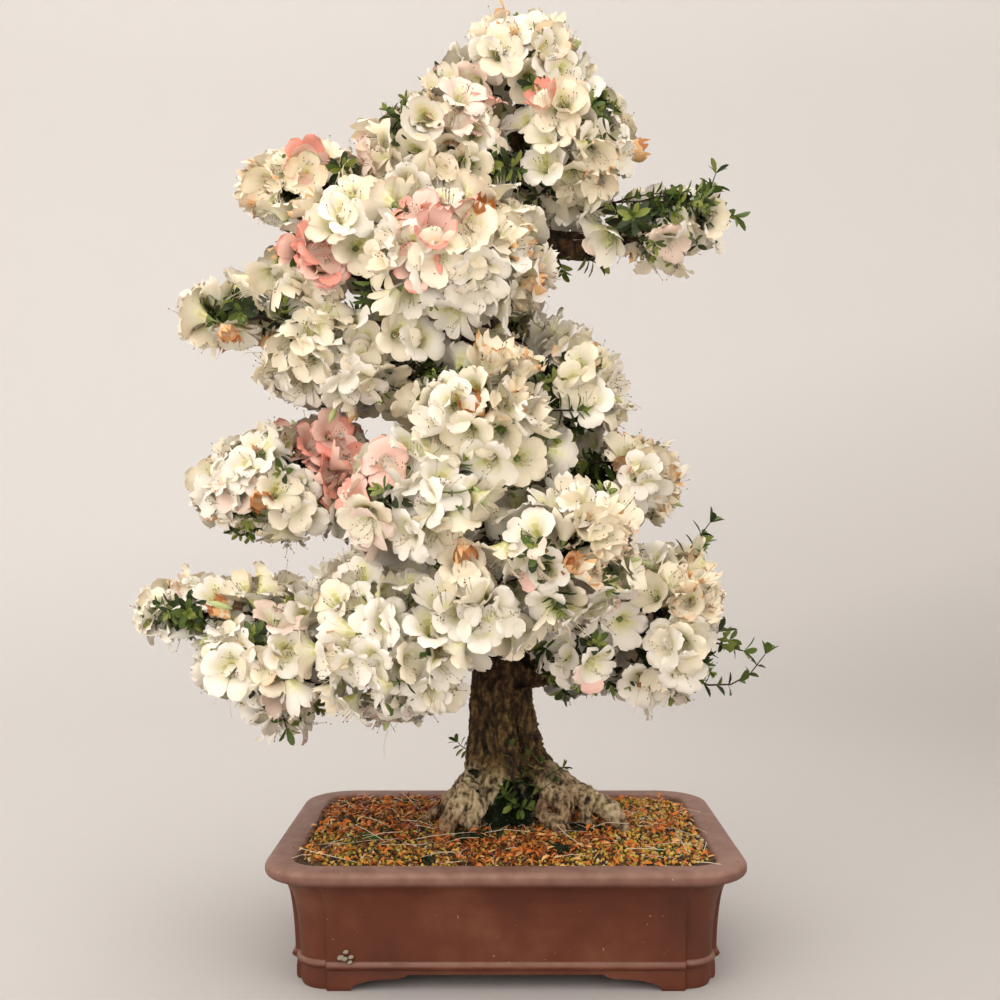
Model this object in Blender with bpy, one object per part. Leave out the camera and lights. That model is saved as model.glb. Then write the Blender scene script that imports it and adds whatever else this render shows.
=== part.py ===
"""Azalea bonsai in full bloom, in a low unglazed clay pot.

Metres, Z up, -Y is the front. The origin lies on the surface that the pot's feet stand on,
under the middle of the whole plant's box. Everything is first laid out about the pot's own
middle, and hangs on one empty that carries it to its place.
"""

import math
from collections import namedtuple
from random import Random

import bmesh
import bpy
from mathutils import Matrix, Vector
from mathutils.bvhtree import BVHTree
from mathutils.geometry import intersect_point_line

Finish = namedtuple("Finish", "color roughness")
PLANT_NAME = "azalea_bonsai"
POT_MIDDLE = (0.070, -0.0147, 0.0)
GAP = 0.0003

# Pot
RIM_WIDTH = 0.480
RIM_DEPTH = 0.345
POT_HEIGHT = 0.1245
RIM_CORNER = 0.057
LEAST_CORNER = 0.012
CORNER_STEPS = 3
NOTCH = 0.0045
NOTCH_LENGTH = 0.010
PLAIN_LENGTH = 0.004
FLOOR_HEIGHT = 0.028
CLAY = Finish((0.165, 0.054, 0.034), 0.62)

# The arch between two feet: half widths at three places along the long and the short side,
# the outline from the ground up as (place, how much nearer the middle, height), and the
# share of those heights that each side's arch reaches
ARCH_HALVES = {"opening": (0.153, 0.086), "toe": (0.137, 0.072), "scroll": (0.096, 0.046)}
ARCH_SIDE = (
    ("opening", 0.0, -0.002), ("opening", 0.002, 0.004), ("toe", 0.0, 0.0095),
    ("toe", 0.012, 0.0125), ("scroll", -0.012, 0.0122), ("scroll", 0.0, 0.0165),
)
ARCH_RISE = (1.0, 0.93)

# Height, inset from the rim's outline and depth of the corner notches, up the outside
POT_OUTSIDE = (
    (0.000, 0.0315, 1.0), (0.004, 0.0295, 1.0), (0.013, 0.0295, 1.0),
    (0.0200, 0.0310, 1.0), (0.0220, 0.0250, 1.0), (0.0275, 0.0250, 1.0),
    (0.0295, 0.0275, 1.0), (0.058, 0.0265, 1.0), (0.083, 0.0235, 0.9),
    (0.101, 0.0175, 0.6), (0.109, 0.0100, 0.2), (0.111, 0.0020, 0.0),
    (0.1185, 0.0000, 0.0), (0.123, 0.0015, 0.0), (POT_HEIGHT, 0.0050, 0.0),
)
# The same down the inside
POT_INSIDE = (
    (POT_HEIGHT, 0.0270, 0.0), (0.122, 0.0300, 0.0), (FLOOR_HEIGHT, 0.0400, 0.0),
)

# Soil
SOIL_EDGE = 0.117
SOIL_TOP = 0.1235
SOIL_SHOULDER = 0.018
SOIL_PLATEAU = 0.032
SOIL_BROWN = Finish((0.190, 0.085, 0.030), 0.95)

# Trunk: its foot is upright, then it sways out and back as it climbs, and leans to the front
TRUNK_FOOT = SOIL_TOP + GAP
TRUNK_TIP = 0.9085
TRUNK_ACROSS = -0.005
TRUNK_BACK = 0.042
SWAY_START = 0.280
SWAY = 0.045
LEAN = 0.020
FORWARD_CURVE = 1.5
TRUNK_RADIUS = 0.0385
TRUNK_TIP_RADIUS = 0.0065
TRUNK_TAPER = 0.85
TRUNK_SIDES = 24
ROOT_SHAPE = 1.35
ROOT_WIDENING = 14
BARK = Finish((0.085, 0.060, 0.043), 0.9)
# Heading in degrees, reach from the trunk's axis, half width in degrees, and fall
ROOTS = (
    (192, 0.098, 15, 0.025), (219, 0.092, 12, 0.024), (262, 0.058, 13, 0.030),
    (300, 0.080, 14, 0.036), (337, 0.146, 12, 0.030), (5, 0.118, 14, 0.045),
    (50, 0.066, 17, 0.030), (104, 0.056, 18, 0.028), (152, 0.078, 18, 0.026),
)
TRUNK_LEVELS = (0.0, 0.006, 0.014, 0.024, 0.036, 0.052, 0.075, 0.11, 0.16, 0.23, 0.31,
                0.39, 0.47, 0.55, 0.63, 0.71, TRUNK_TIP - TRUNK_FOOT)
STUB_HEIGHT = 0.287
STUB_HEADING = -12
STUB_REACH = 0.058
STUB_RISE = 0.35
STUB_BEND = 0.7
STUB_RADII = (0.0175, 0.0147, 0.0126)

# Boughs
BOUGH_STEPS = 4
BOUGH_TIP = 0.5
BOUGH_BEND = 0.45
BOUGH_ARCH = 0.05
ENTRY_LEVEL = 0.80
ENTRY_DROP = 0.45

# Foliage
CORE_LEVEL = 0.70
CORE_STEPS = 9
CORE_LEAST = 0.15
CORE_UNEVEN = (0.88, 1.06)
CORE_CLEARANCES = (0.008, 0.014, 0.021, 0.030)
LIMB_CLEARANCE = 0.0015
SPACE_MARGIN = 0.04
SIZE_VARIETY = (0.92, 1.06)
PETALS = 5
BLOOM_RADIUS = 0.038
BLOOM_TUBE = 0.023
BLOOM_THROAT = 0.009
BLOOM_SEAT = 0.7
BLOOM_LEVEL = 0.89
BLOOM_GRADES = (1.0, 0.86, 0.74)
TWIG_AREA = 0.0066
LEAST_TWIGS = 9
OVERHANG = 0.014
ROSETTE_LEAVES = 3
LEAF_LENGTH = 0.036
LEAF_WIDTH = 0.011
LEAF_THICKNESS = 0.0016
LEAF_LEVEL = 0.84
LEAF_CUP = 0.35
TWIG_RADIUS = 0.0028
TWIG_TAPER = 0.75
TWIG_ROOT = 0.010
TWIG_SWING = 0.14
STEM_START = 0.9
STEM_TIP_RADIUS = 0.0036
WHORLS_ON_SHOOT = (0.74, 0.87, 0.998)
GOLDEN_TURN = math.pi * (3 - math.sqrt(5))

# Each mass by its middle and half sizes, the height at which its bough leaves the trunk,
# that bough's radius there, and the share of its twigs that end in leaves and not in bloom
Mass = namedtuple("Mass", "name across back height half_across half_back half_height"
                          " fork bough_radius leafiness")
MASSES = (
    Mass("low_left_outer", -0.251, -0.050, 0.310, 0.074, 0.085, 0.080, 0.355, 0.0105, 0.15),
    Mass("low_left_inner", -0.114, -0.110, 0.333, 0.076, 0.082, 0.076, 0.326, 0.0100, 0.12),
    Mass("low_left_tip", -0.346, -0.020, 0.364, 0.064, 0.052, 0.040, 0.387, 0.0080, 0.60),
    Mass("low_front", -0.024, -0.130, 0.376, 0.056, 0.062, 0.055, 0.376, 0.0080, 0.20),
    Mass("low_right_under", 0.084, -0.040, 0.332, 0.070, 0.072, 0.056, 0.326, 0.0090, 0.30),
    Mass("low_right", 0.171, -0.050, 0.352, 0.068, 0.080, 0.084, 0.355, 0.0100, 0.25),
    Mass("low_mid_right", 0.058, -0.130, 0.426, 0.073, 0.072, 0.064, 0.415, 0.0090, 0.20),
    Mass("low_back_left", -0.129, 0.150, 0.348, 0.120, 0.088, 0.068, 0.341, 0.0100, 0.25),
    Mass("low_back_right", 0.103, 0.150, 0.360, 0.105, 0.088, 0.068, 0.349, 0.0100, 0.25),
    Mass("mid_left", -0.242, -0.025, 0.504, 0.094, 0.082, 0.073, 0.507, 0.0090, 0.20),
    Mass("mid_front_low", -0.079, -0.140, 0.480, 0.073, 0.068, 0.060, 0.466, 0.0085, 0.20),
    Mass("mid_front_high", -0.016, -0.120, 0.560, 0.071, 0.068, 0.065, 0.544, 0.0080, 0.20),
    Mass("mid_right", 0.134, 0.005, 0.503, 0.062, 0.075, 0.060, 0.494, 0.0080, 0.30),
    Mass("mid_back", -0.007, 0.140, 0.506, 0.120, 0.080, 0.078, 0.494, 0.0090, 0.25),
    Mass("high_left_under", -0.164, -0.040, 0.630, 0.102, 0.082, 0.053, 0.614, 0.0080, 0.20),
    Mass("right_shoulder", 0.077, -0.025, 0.618, 0.058, 0.080, 0.073, 0.604, 0.0075, 0.40),
    Mass("back_upper_mid", -0.043, 0.115, 0.667, 0.105, 0.075, 0.068, 0.644, 0.0075, 0.25),
    Mass("big_left", -0.205, -0.050, 0.734, 0.079, 0.082, 0.058, 0.716, 0.0070, 0.20),
    Mass("big_front", -0.049, -0.100, 0.721, 0.091, 0.078, 0.065, 0.690, 0.0070, 0.15),
    Mass("far_left_tip", -0.286, -0.040, 0.680, 0.064, 0.047, 0.040, 0.668, 0.0060, 0.60),
    Mass("top_left_arm", -0.220, 0.000, 0.829, 0.074, 0.062, 0.050, 0.802, 0.0055, 0.30),
    Mass("top_right_arm", 0.176, -0.010, 0.783, 0.078, 0.062, 0.056, 0.770, 0.0110, 0.50),
    Mass("top_front_left", -0.069, -0.060, 0.844, 0.071, 0.068, 0.061, 0.832, 0.0050, 0.20),
    Mass("top_right", 0.080, -0.020, 0.859, 0.069, 0.072, 0.069, 0.842, 0.0050, 0.35),
    Mass("top_back", -0.007, 0.085, 0.856, 0.090, 0.070, 0.073, 0.810, 0.0050, 0.25),
    Mass("apex", 0.015, -0.010, 0.953, 0.076, 0.068, 0.061, TRUNK_TIP, 0.0, 0.40),
)
# Leafy shoots that reach past the masses they grow from: mass, then the shoot's tip
SHOOTS = (
    ("low_right", 0.250, -0.050, 0.322), ("low_right", 0.207, -0.060, 0.435),
    ("top_right_arm", 0.222, -0.010, 0.815), ("top_right_arm", 0.225, -0.020, 0.788),
    ("apex", -0.080, -0.010, 0.930), ("apex", 0.008, -0.010, 0.985),
    ("top_front_left", -0.110, -0.040, 0.880), ("top_right", 0.095, -0.030, 0.900),
    ("low_left_outer", -0.222, -0.100, 0.250), ("low_right_under", 0.062, -0.060, 0.285),
)
PETAL_WHITE = Finish((0.860, 0.810, 0.690), 0.7)


def clear_scene():
    """Removes whatever the scene starts with."""
    for leftover in list(bpy.data.objects):
        bpy.data.objects.remove(leftover, do_unlink=True)


def new_collection(name):
    """A collection in the scene."""
    collection = bpy.data.collections.new(name)
    bpy.context.scene.collection.children.link(collection)
    return collection


def add_object(name, mesh, collection):
    """An object for a mesh, in a collection."""
    added = bpy.data.objects.new(name, mesh)
    collection.objects.link(added)
    return added


def paint(part, finish):
    """Gives a part a material of its own."""
    material = bpy.data.materials.new(part.name)
    material.use_nodes = True
    shader = material.node_tree.nodes["Principled BSDF"]
    shader.inputs["Base Color"].default_value = (*finish.color, 1.0)
    shader.inputs["Roughness"].default_value = finish.roughness
    shader.inputs["Metallic"].default_value = 0.0
    part.data.materials.clear()
    part.data.materials.append(material)


def to_mesh(name, shape):
    """A mesh from a bmesh, which it frees."""
    mesh = bpy.data.meshes.new(name)
    bmesh.ops.recalc_face_normals(shape, faces=shape.faces)
    shape.to_mesh(mesh)
    shape.free()
    return mesh


def loft(name, rings):
    """Skin over equal rings of points, closed by a face at each end."""
    shape = bmesh.new()
    loops = [[shape.verts.new(point) for point in ring] for ring in rings]
    for low, high in zip(loops, loops[1:]):
        for here in range(len(low)):
            after = (here + 1) % len(low)
            shape.faces.new((low[here], low[after], high[after], high[here]))
    shape.faces.new(loops[0])
    shape.faces.new(loops[-1])
    return to_mesh(name, shape)


def pot_outline(height, inset, notch):
    """Ring of the pot: a rectangle with rounded corners, each set back by a small step."""
    half = (RIM_WIDTH / 2 - inset, RIM_DEPTH / 2 - inset)
    radius = max(RIM_CORNER - inset, LEAST_CORNER)
    step = NOTCH * notch
    run = PLAIN_LENGTH + (NOTCH_LENGTH - PLAIN_LENGTH) * notch
    corner = [(half[0], half[1] - radius - run)]
    for count in range(CORNER_STEPS + 1):
        turn = math.pi / 2 * count / CORNER_STEPS
        corner.append((half[0] - radius - step + radius * math.cos(turn),
                       half[1] - radius - step + radius * math.sin(turn)))
    corner.append((half[0] - radius - run, half[1]))
    mirrored = [(-x, y) for x, y in reversed(corner)]
    upper = corner + mirrored
    lower = [(-x, -y) for x, y in upper]
    return [(x, y, height) for x, y in upper + lower]


def foot_cutter(name, along, half_span, cutters):
    """Arch between two feet, from its outline, as long as half_span each way."""
    side = [(ARCH_HALVES[place][along] - inward, height * ARCH_RISE[along])
            for place, inward, height in ARCH_SIDE]
    outline = side + [(-x, z) for x, z in reversed(side)]
    curve = bpy.data.curves.new(name, "CURVE")
    curve.dimensions = "2D"
    curve.fill_mode = "BOTH"
    curve.extrude = half_span
    spline = curve.splines.new("POLY")
    spline.points.add(len(outline) - 1)
    for point, (x, z) in zip(spline.points, outline):
        point.co = (x, z, 0.0, 1.0)
    spline.use_cyclic_u = True
    flat = bpy.data.objects.new(name, curve)
    turned = Matrix.Rotation(math.pi / 2, 4, "X")
    if along == 1:
        turned = Matrix.Rotation(math.pi / 2, 4, "Z") @ turned
    mesh = solid_from_curve(flat, turned)
    cutter = add_object(name, mesh, cutters)
    cutter.hide_render = True
    cutter.display_type = "WIRE"
    return cutter


def solid_from_curve(curve_object, placed=None):
    """Mesh of a curve object with its caps welded; the curve is removed."""
    bpy.context.scene.collection.objects.link(curve_object)
    depsgraph = bpy.context.evaluated_depsgraph_get()
    raw = bpy.data.meshes.new_from_object(curve_object.evaluated_get(depsgraph))
    shape = bmesh.new()
    shape.from_mesh(raw)
    bmesh.ops.remove_doubles(shape, verts=shape.verts, dist=0.00001)
    if placed is not None:
        bmesh.ops.transform(shape, matrix=placed, verts=shape.verts)
    name = curve_object.name
    bpy.data.objects.remove(curve_object, do_unlink=True)
    bpy.data.meshes.remove(raw)
    return to_mesh(name, shape)


def subtract(part, cutter):
    """Cuts one part with another."""
    cut = part.modifiers.new(cutter.name, "BOOLEAN")
    cut.operation = "DIFFERENCE"
    cut.object = cutter
    cut.solver = "EXACT"


def build_pot(parts, cutters):
    """Pot with its lip, bead, notched corners and four cloud feet."""
    rings = [pot_outline(*section) for section in POT_OUTSIDE + POT_INSIDE]
    pot = add_object("pot", loft("pot", rings), parts)
    subtract(pot, foot_cutter("arch_long", 0, RIM_DEPTH / 2, cutters))
    subtract(pot, foot_cutter("arch_short", 1, RIM_WIDTH / 2, cutters))
    paint(pot, CLAY)


def build_soil(parts):
    """Soil that fills the pot and rises to a flat plateau under the trunk."""
    inner_top, inner_low = POT_INSIDE[1], POT_INSIDE[2]
    slope = (inner_low[1] - inner_top[1]) / (inner_top[0] - inner_low[0])
    edge_inset = inner_top[1] + slope * (inner_top[0] - SOIL_EDGE) + GAP
    rings = [
        pot_outline(FLOOR_HEIGHT + GAP, inner_low[1] + GAP, 0.0),
        pot_outline(SOIL_EDGE, edge_inset, 0.0),
        pot_outline((SOIL_EDGE + 2 * SOIL_TOP) / 3, edge_inset + SOIL_SHOULDER, 0.0),
        pot_outline(SOIL_TOP, edge_inset + SOIL_PLATEAU, 0.0),
    ]
    soil = add_object("soil", loft("soil", rings), parts)
    paint(soil, SOIL_BROWN)


def trunk_middle(height):
    """Axis of the trunk at a height."""
    climb = (height - TRUNK_FOOT) / (TRUNK_TIP - TRUNK_FOOT)
    share = max(0.0, (height - SWAY_START) / (TRUNK_TIP - SWAY_START))
    across = TRUNK_ACROSS - SWAY * math.sin(math.pi * share) ** 2 + LEAN * share
    return Vector((across, TRUNK_BACK * (1 - climb ** FORWARD_CURVE), height))


def trunk_radius(height):
    """Radius of the trunk without its roots."""
    climb = (height - TRUNK_FOOT) / (TRUNK_TIP - TRUNK_FOOT)
    return TRUNK_TIP_RADIUS + (TRUNK_RADIUS - TRUNK_TIP_RADIUS) * (1 - climb) ** TRUNK_TAPER


def trunk_reach(height, heading):
    """Radius of the trunk with its roots, in one direction, at a height."""
    base = trunk_radius(height)
    rise = height - TRUNK_FOOT
    flare = 0.0
    for root_heading, reach, width, fall in ROOTS:
        away = (math.degrees(heading) - root_heading + 180) % 360 - 180
        spread = width * (1 + ROOT_WIDENING * rise)
        lobe = math.exp(-(rise / fall) ** ROOT_SHAPE) * math.exp(-(away / spread) ** 2)
        flare = max(flare, (reach - base) * lobe)
    return base + flare


def trunk_rings(grown=0.0):
    """Rings of the trunk from its cut foot to its tip, all grown by a margin."""
    rings = []
    for rise in TRUNK_LEVELS:
        height = TRUNK_FOOT + rise
        middle = trunk_middle(height)
        ring = []
        for side in range(TRUNK_SIDES):
            heading = 2 * math.pi * side / TRUNK_SIDES
            reach = trunk_reach(height, heading) + grown
            ring.append(middle + Vector((reach * math.cos(heading), reach * math.sin(heading), 0)))
        rings.append(ring)
    return rings


def build_trunk(parts):
    """Trunk with root flare and the stub of a sawn-off bough."""
    trunk = add_object("trunk", loft("trunk", trunk_rings()), parts)
    start = trunk_middle(STUB_HEIGHT)
    heading = math.radians(STUB_HEADING)
    end = start + Vector((math.cos(heading), math.sin(heading), STUB_RISE)) * STUB_REACH
    stub = limb("stub", [start, start.lerp(end, STUB_BEND), end], STUB_RADII)
    fuse(trunk, [stub])
    paint(trunk, BARK)


def limb(name, points, radii):
    """Tapering six-sided limb along points, as an unlinked object."""
    curve = bpy.data.curves.new(name, "CURVE")
    curve.dimensions = "3D"
    curve.bevel_depth = 1.0
    curve.bevel_resolution = 1
    curve.use_fill_caps = True
    spline = curve.splines.new("POLY")
    spline.points.add(len(points) - 1)
    for target, point, radius in zip(spline.points, points, radii):
        target.co = (*point, 1.0)
        target.radius = radius
    shaped = bpy.data.objects.new(name, curve)
    return bpy.data.objects.new(name, solid_from_curve(shaped))


def middle(mass):
    """Heart of a mass."""
    return Vector((mass.across, mass.back, mass.height))


def half(mass):
    """Half sizes of a mass."""
    return Vector((mass.half_across, mass.half_back, mass.half_height))


def level(mass, point):
    """How far out in a mass a point lies: 0 at its heart and 1 at its edge."""
    away = Vector(point) - middle(mass)
    size = half(mass)
    return math.sqrt(sum((away[axis] / size[axis]) ** 2 for axis in range(3)))


def bough_path(mass):
    """Middle line and radii of the bough that carries a mass, from the trunk's axis."""
    start = trunk_middle(mass.fork)
    inward = start - middle(mass)
    inward.z = 0
    inward.normalize()
    size = half(mass)
    direction = Vector((inward.x, inward.y, -ENTRY_DROP)).normalized()
    end = middle(mass) + Vector([direction[axis] * size[axis] for axis in range(3)]) * ENTRY_LEVEL
    bend = start.lerp(end, BOUGH_BEND) + Vector((0, 0, BOUGH_ARCH * (end - start).length))
    points, radii = [], []
    for count in range(BOUGH_STEPS + 1):
        share = count / BOUGH_STEPS
        points.append(start.lerp(bend, share).lerp(bend.lerp(end, share), share))
        radii.append(mass.bough_radius * (1 - (1 - BOUGH_TIP) * share))
    return points, radii


def limb_stretches():
    """Short stretches of the trunk and the boughs, each with its two radii."""
    heights = [TRUNK_FOOT + rise for rise in TRUNK_LEVELS]
    stretches = []
    for low, high in zip(heights, heights[1:]):
        stretches.append((trunk_middle(low), trunk_middle(high), trunk_radius(low)))
    for mass in MASSES[:-1]:
        points, radii = bough_path(mass)
        stretches.extend(zip(points, points[1:], radii))
    return stretches


def room_beside(point, stretch):
    """How far a point lies from the surface of one stretch of a limb."""
    start, end, radius = stretch
    foot, share = intersect_point_line(point, start, end)
    if share < 0:
        foot = start
    elif share > 1:
        foot = end
    return (point - foot).length - radius


def near_stretches(mass, stretches):
    """The limb stretches that pass through or close by a mass."""
    reach = max(half(mass)) + OVERHANG + CORE_CLEARANCES[-1]
    return [stretch for stretch in stretches if room_beside(middle(mass), stretch) < reach]


def clear_of_limbs(point, stretches, clearance):
    """Whether a point stays off every limb by a clearance."""
    return all(room_beside(point, stretch) >= clearance for stretch in stretches)


def owns(mass, point, edge=1.0):
    """Whether a point lies in the space of a mass and not nearer to another's heart."""
    own = level(mass, point)
    if own > edge:
        return False
    return all(other is mass or level(other, point) > own + SPACE_MARGIN for other in MASSES)


def tree_of(mesh):
    """Search tree over the faces of a mesh."""
    return BVHTree.FromPolygons([vert.co for vert in mesh.vertices],
                                [tuple(face.vertices) for face in mesh.polygons])


def touches(mesh, obstacles):
    """Whether a mesh cuts through any of the solids already in place."""
    tree = tree_of(mesh)
    return any(tree.overlap(obstacle) for obstacle in obstacles)


def dented_core(mass, stretches, clearance):
    """Uneven dense heart of a mass, pulled in where a limb or another mass is near."""
    shape = bmesh.new()
    bmesh.ops.create_icosphere(shape, subdivisions=2, radius=1.0)
    heart, size = middle(mass), half(mass)
    noise = Random(mass.name + " core")
    for vert in shape.verts:
        outward = Vector([vert.co[axis] * size[axis] for axis in range(3)])
        most = CORE_LEVEL * noise.uniform(*CORE_UNEVEN)
        reached = CORE_LEAST
        for count in range(1, CORE_STEPS + 1):
            share = CORE_LEAST + (most - CORE_LEAST) * count / CORE_STEPS
            point = heart + outward * share
            if not (owns(mass, point) and clear_of_limbs(point, stretches, clearance)):
                break
            reached = share
        vert.co = heart + outward * reached
    return to_mesh("core", shape)


def core_mesh(mass, stretches, obstacles):
    """The largest heart of a mass that stays off everything already in place."""
    for clearance in CORE_CLEARANCES:
        core = dented_core(mass, stretches, clearance)
        if not touches(core, obstacles):
            break
    return core


def frame_along(outward, spin):
    """Turn that carries +Z to a direction, after a spin about it."""
    return outward.to_track_quat("Z", "Y").to_matrix().to_4x4() @ Matrix.Rotation(spin, 4, "Z")


def rod(name, start, end, radius, tip_radius, sides=3):
    """Straight tapering twig as an unlinked object."""
    shape = bmesh.new()
    axis = end - start
    bmesh.ops.create_cone(shape, cap_ends=True, segments=sides, radius1=radius,
                          radius2=tip_radius, depth=axis.length)
    place = Matrix.Translation((start + end) / 2) @ frame_along(axis.normalized(), 0.0)
    bmesh.ops.transform(shape, matrix=place, verts=shape.verts)
    return bpy.data.objects.new(name, to_mesh(name, shape))


def fan(name, rim_points, front, back, place):
    """Thin closed form between two fans that share one rim, as an unlinked object."""
    shape = bmesh.new()
    rim = [shape.verts.new(point) for point in rim_points]
    top, bottom = shape.verts.new((0, 0, front)), shape.verts.new((0, 0, back))
    for here, after in zip(rim, rim[1:] + rim[:1]):
        shape.faces.new((here, after, top))
        shape.faces.new((after, here, bottom))
    bmesh.ops.transform(shape, matrix=place, verts=shape.verts)
    return bpy.data.objects.new(name, to_mesh(name, shape))


def bloom(position, outward, spin, size):
    """Funnel of five petals with its tube behind it."""
    turns = [2 * math.pi * count / PETALS for count in range(PETALS)]
    rim = [(size * math.cos(turn), size * math.sin(turn), 0.0) for turn in turns]
    place = Matrix.Translation(position) @ frame_along(outward, spin)
    return fan("bloom", rim, -BLOOM_THROAT, -BLOOM_TUBE, place)


def rosette(position, outward, spin, size):
    """Whorl of pointed leaves round the end of a twig."""
    rim = []
    for count in range(ROSETTE_LEAVES):
        turn = 2 * math.pi * count / ROSETTE_LEAVES
        for share, aside in ((0.5, -0.5), (1.0, 0.0), (0.5, 0.5)):
            reach, side = size * share, LEAF_WIDTH * aside
            rim.append((reach * math.cos(turn) - side * math.sin(turn),
                        reach * math.sin(turn) + side * math.cos(turn), LEAF_CUP * reach))
        gap = turn + math.pi / ROSETTE_LEAVES
        rim.append((TWIG_RADIUS * math.cos(gap), TWIG_RADIUS * math.sin(gap), 0.0))
    place = Matrix.Translation(position) @ frame_along(outward, spin)
    return fan("rosette", rim, LEAF_THICKNESS, -LEAF_THICKNESS, place)


def fits(mass, piece, stretches, edge, obstacles):
    """Whether a piece stays in the space of its mass and off everything already in place."""
    points = [vert.co for vert in piece.data.vertices]
    points += [face.center for face in piece.data.polygons]
    return (all(owns(mass, point, edge) and clear_of_limbs(point, stretches, LIMB_CLEARANCE)
                for point in points)
            and not touches(piece.data, obstacles))


def twig_directions(mass):
    """Directions of the main twigs, spread evenly over the mass."""
    size = half(mass)
    area = 4 * math.pi * (size.x * size.y + size.x * size.z + size.y * size.z) / 3
    count = max(LEAST_TWIGS, round(area / TWIG_AREA))
    for number in range(count):
        rise = 1 - 2 * (number + 0.5) / count
        flat = math.sqrt(1 - rise * rise)
        turn = number * GOLDEN_TURN
        yield Vector((flat * math.cos(turn), flat * math.sin(turn), rise))


def stem(mass, heart):
    """Stem of a mass, from just clear of its bough or of the trunk's tip to beside its heart."""
    if mass.bough_radius:
        points, radii = bough_path(mass)
        ahead = (points[-1] - points[-2]).normalized()
        start = points[-1] + ahead * GAP
        width = radii[-1] * STEM_START
    else:
        ahead = Vector((0, 0, 1))
        start = trunk_middle(TRUNK_TIP) + ahead * GAP
        width = TRUNK_TIP_RADIUS * STEM_START
    inside = start + ahead * ahead.dot(heart - start)
    return rod("stem", start, inside, width, STEM_TIP_RADIUS, 4)


def shoot_pieces(heart, tip, chance):
    """Long leafy shoot from the heart of a mass to a tip outside it."""
    run = tip - heart
    along = run.normalized()
    pieces = [rod("shoot", heart, tip, TWIG_RADIUS, TWIG_RADIUS * TWIG_TAPER)]
    for share in WHORLS_ON_SHOOT:
        spin = chance.uniform(0, math.pi)
        pieces.append(rosette(heart + run * share, along, spin, LEAF_LENGTH))
    return pieces


def twig_end(mass, direction, chance, near, surface, obstacles):
    """The bloom or leaf rosette that ends one twig, in the largest size that fits, or nothing."""
    heart, size = middle(mass), half(mass)
    spread = Vector([direction[axis] * size[axis] for axis in range(3)])
    facing = Vector([direction[axis] / size[axis] for axis in range(3)]).normalized()
    leafy = chance.random() < mass.leafiness
    spin, variety = chance.uniform(0, math.pi), chance.uniform(*SIZE_VARIETY)
    edge = 1 + OVERHANG / min(size)
    for grade in BLOOM_GRADES:
        if leafy:
            tip = heart + spread * LEAF_LEVEL * (0.5 + 0.5 * grade)
            end = rosette(tip, facing, spin, LEAF_LENGTH * variety * grade)
        else:
            seat = (surface + BLOOM_TUBE * BLOOM_SEAT) / spread.length
            tip = heart + spread * min(seat, BLOOM_LEVEL)
            end = bloom(tip, facing, spin, BLOOM_RADIUS * variety * grade)
        if fits(mass, end, near, edge, obstacles):
            return end, tip, leafy
    return None


def build_mass(mass, stretches, obstacles, parts):
    """One mass of foliage: heart, stem, twigs, blooms and leaves fused to one solid."""
    chance = Random(mass.name)
    heart, size = middle(mass), half(mass)
    near = near_stretches(mass, stretches)
    base = add_object("mass_" + mass.name, core_mesh(mass, near, obstacles), parts)
    core = tree_of(base.data)
    pieces = [stem(mass, heart)]
    for direction in twig_directions(mass):
        swing = Vector([chance.uniform(-TWIG_SWING, TWIG_SWING) for axis in range(3)])
        outward = (direction + swing).normalized()
        spread = Vector([outward[axis] * size[axis] for axis in range(3)]).normalized()
        surface = core.ray_cast(heart, spread)[3]
        ended = twig_end(mass, outward, chance, near, surface, obstacles)
        if ended is None:
            continue
        end, tip, leafy = ended
        pieces.append(end)
        if leafy:
            root = heart + spread * (surface - TWIG_ROOT)
            pieces.append(rod("twig", root, tip, TWIG_RADIUS, TWIG_RADIUS * TWIG_TAPER))
    for owner, *shoot_tip in SHOOTS:
        if owner == mass.name:
            shoot = shoot_pieces(heart, Vector(shoot_tip), chance)
            pieces += [piece for piece in shoot if not touches(piece.data, obstacles)]
    fuse(base, pieces)
    paint(base, PETAL_WHITE)
    obstacles.append(tree_of(base.data))


def fuse(base, pieces):
    """Joins pieces to a base with one union, and keeps the one outer body that results."""
    cluster = new_collection("cluster")
    for piece in pieces:
        cluster.objects.link(piece)
    union = base.modifiers.new("union", "BOOLEAN")
    union.operation = "UNION"
    union.operand_type = "COLLECTION"
    union.collection = cluster
    union.solver = "EXACT"
    depsgraph = bpy.context.evaluated_depsgraph_get()
    joined = bpy.data.meshes.new_from_object(base.evaluated_get(depsgraph))
    base.modifiers.remove(union)
    for piece in list(cluster.objects):
        bpy.data.objects.remove(piece, do_unlink=True)
    bpy.data.collections.remove(cluster)
    base.data = keep_outer_body(base.name, joined)


def keep_outer_body(name, mesh):
    """Keeps the largest connected body of a mesh: scraps are dropped, sealed hollows filled."""
    shape = bmesh.new()
    shape.from_mesh(mesh)
    seen, bodies = set(), []
    for first in shape.verts:
        if first in seen:
            continue
        body, edge_of_body = {first}, [first]
        while edge_of_body:
            vert = edge_of_body.pop()
            for edge in vert.link_edges:
                other = edge.other_vert(vert)
                if other not in body:
                    body.add(other)
                    edge_of_body.append(other)
        seen |= body
        bodies.append(body)
    kept = max(bodies, key=len)
    spare = [vert for vert in shape.verts if vert not in kept]
    bmesh.ops.delete(shape, geom=spare, context="VERTS")
    return to_mesh(name, shape)


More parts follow.
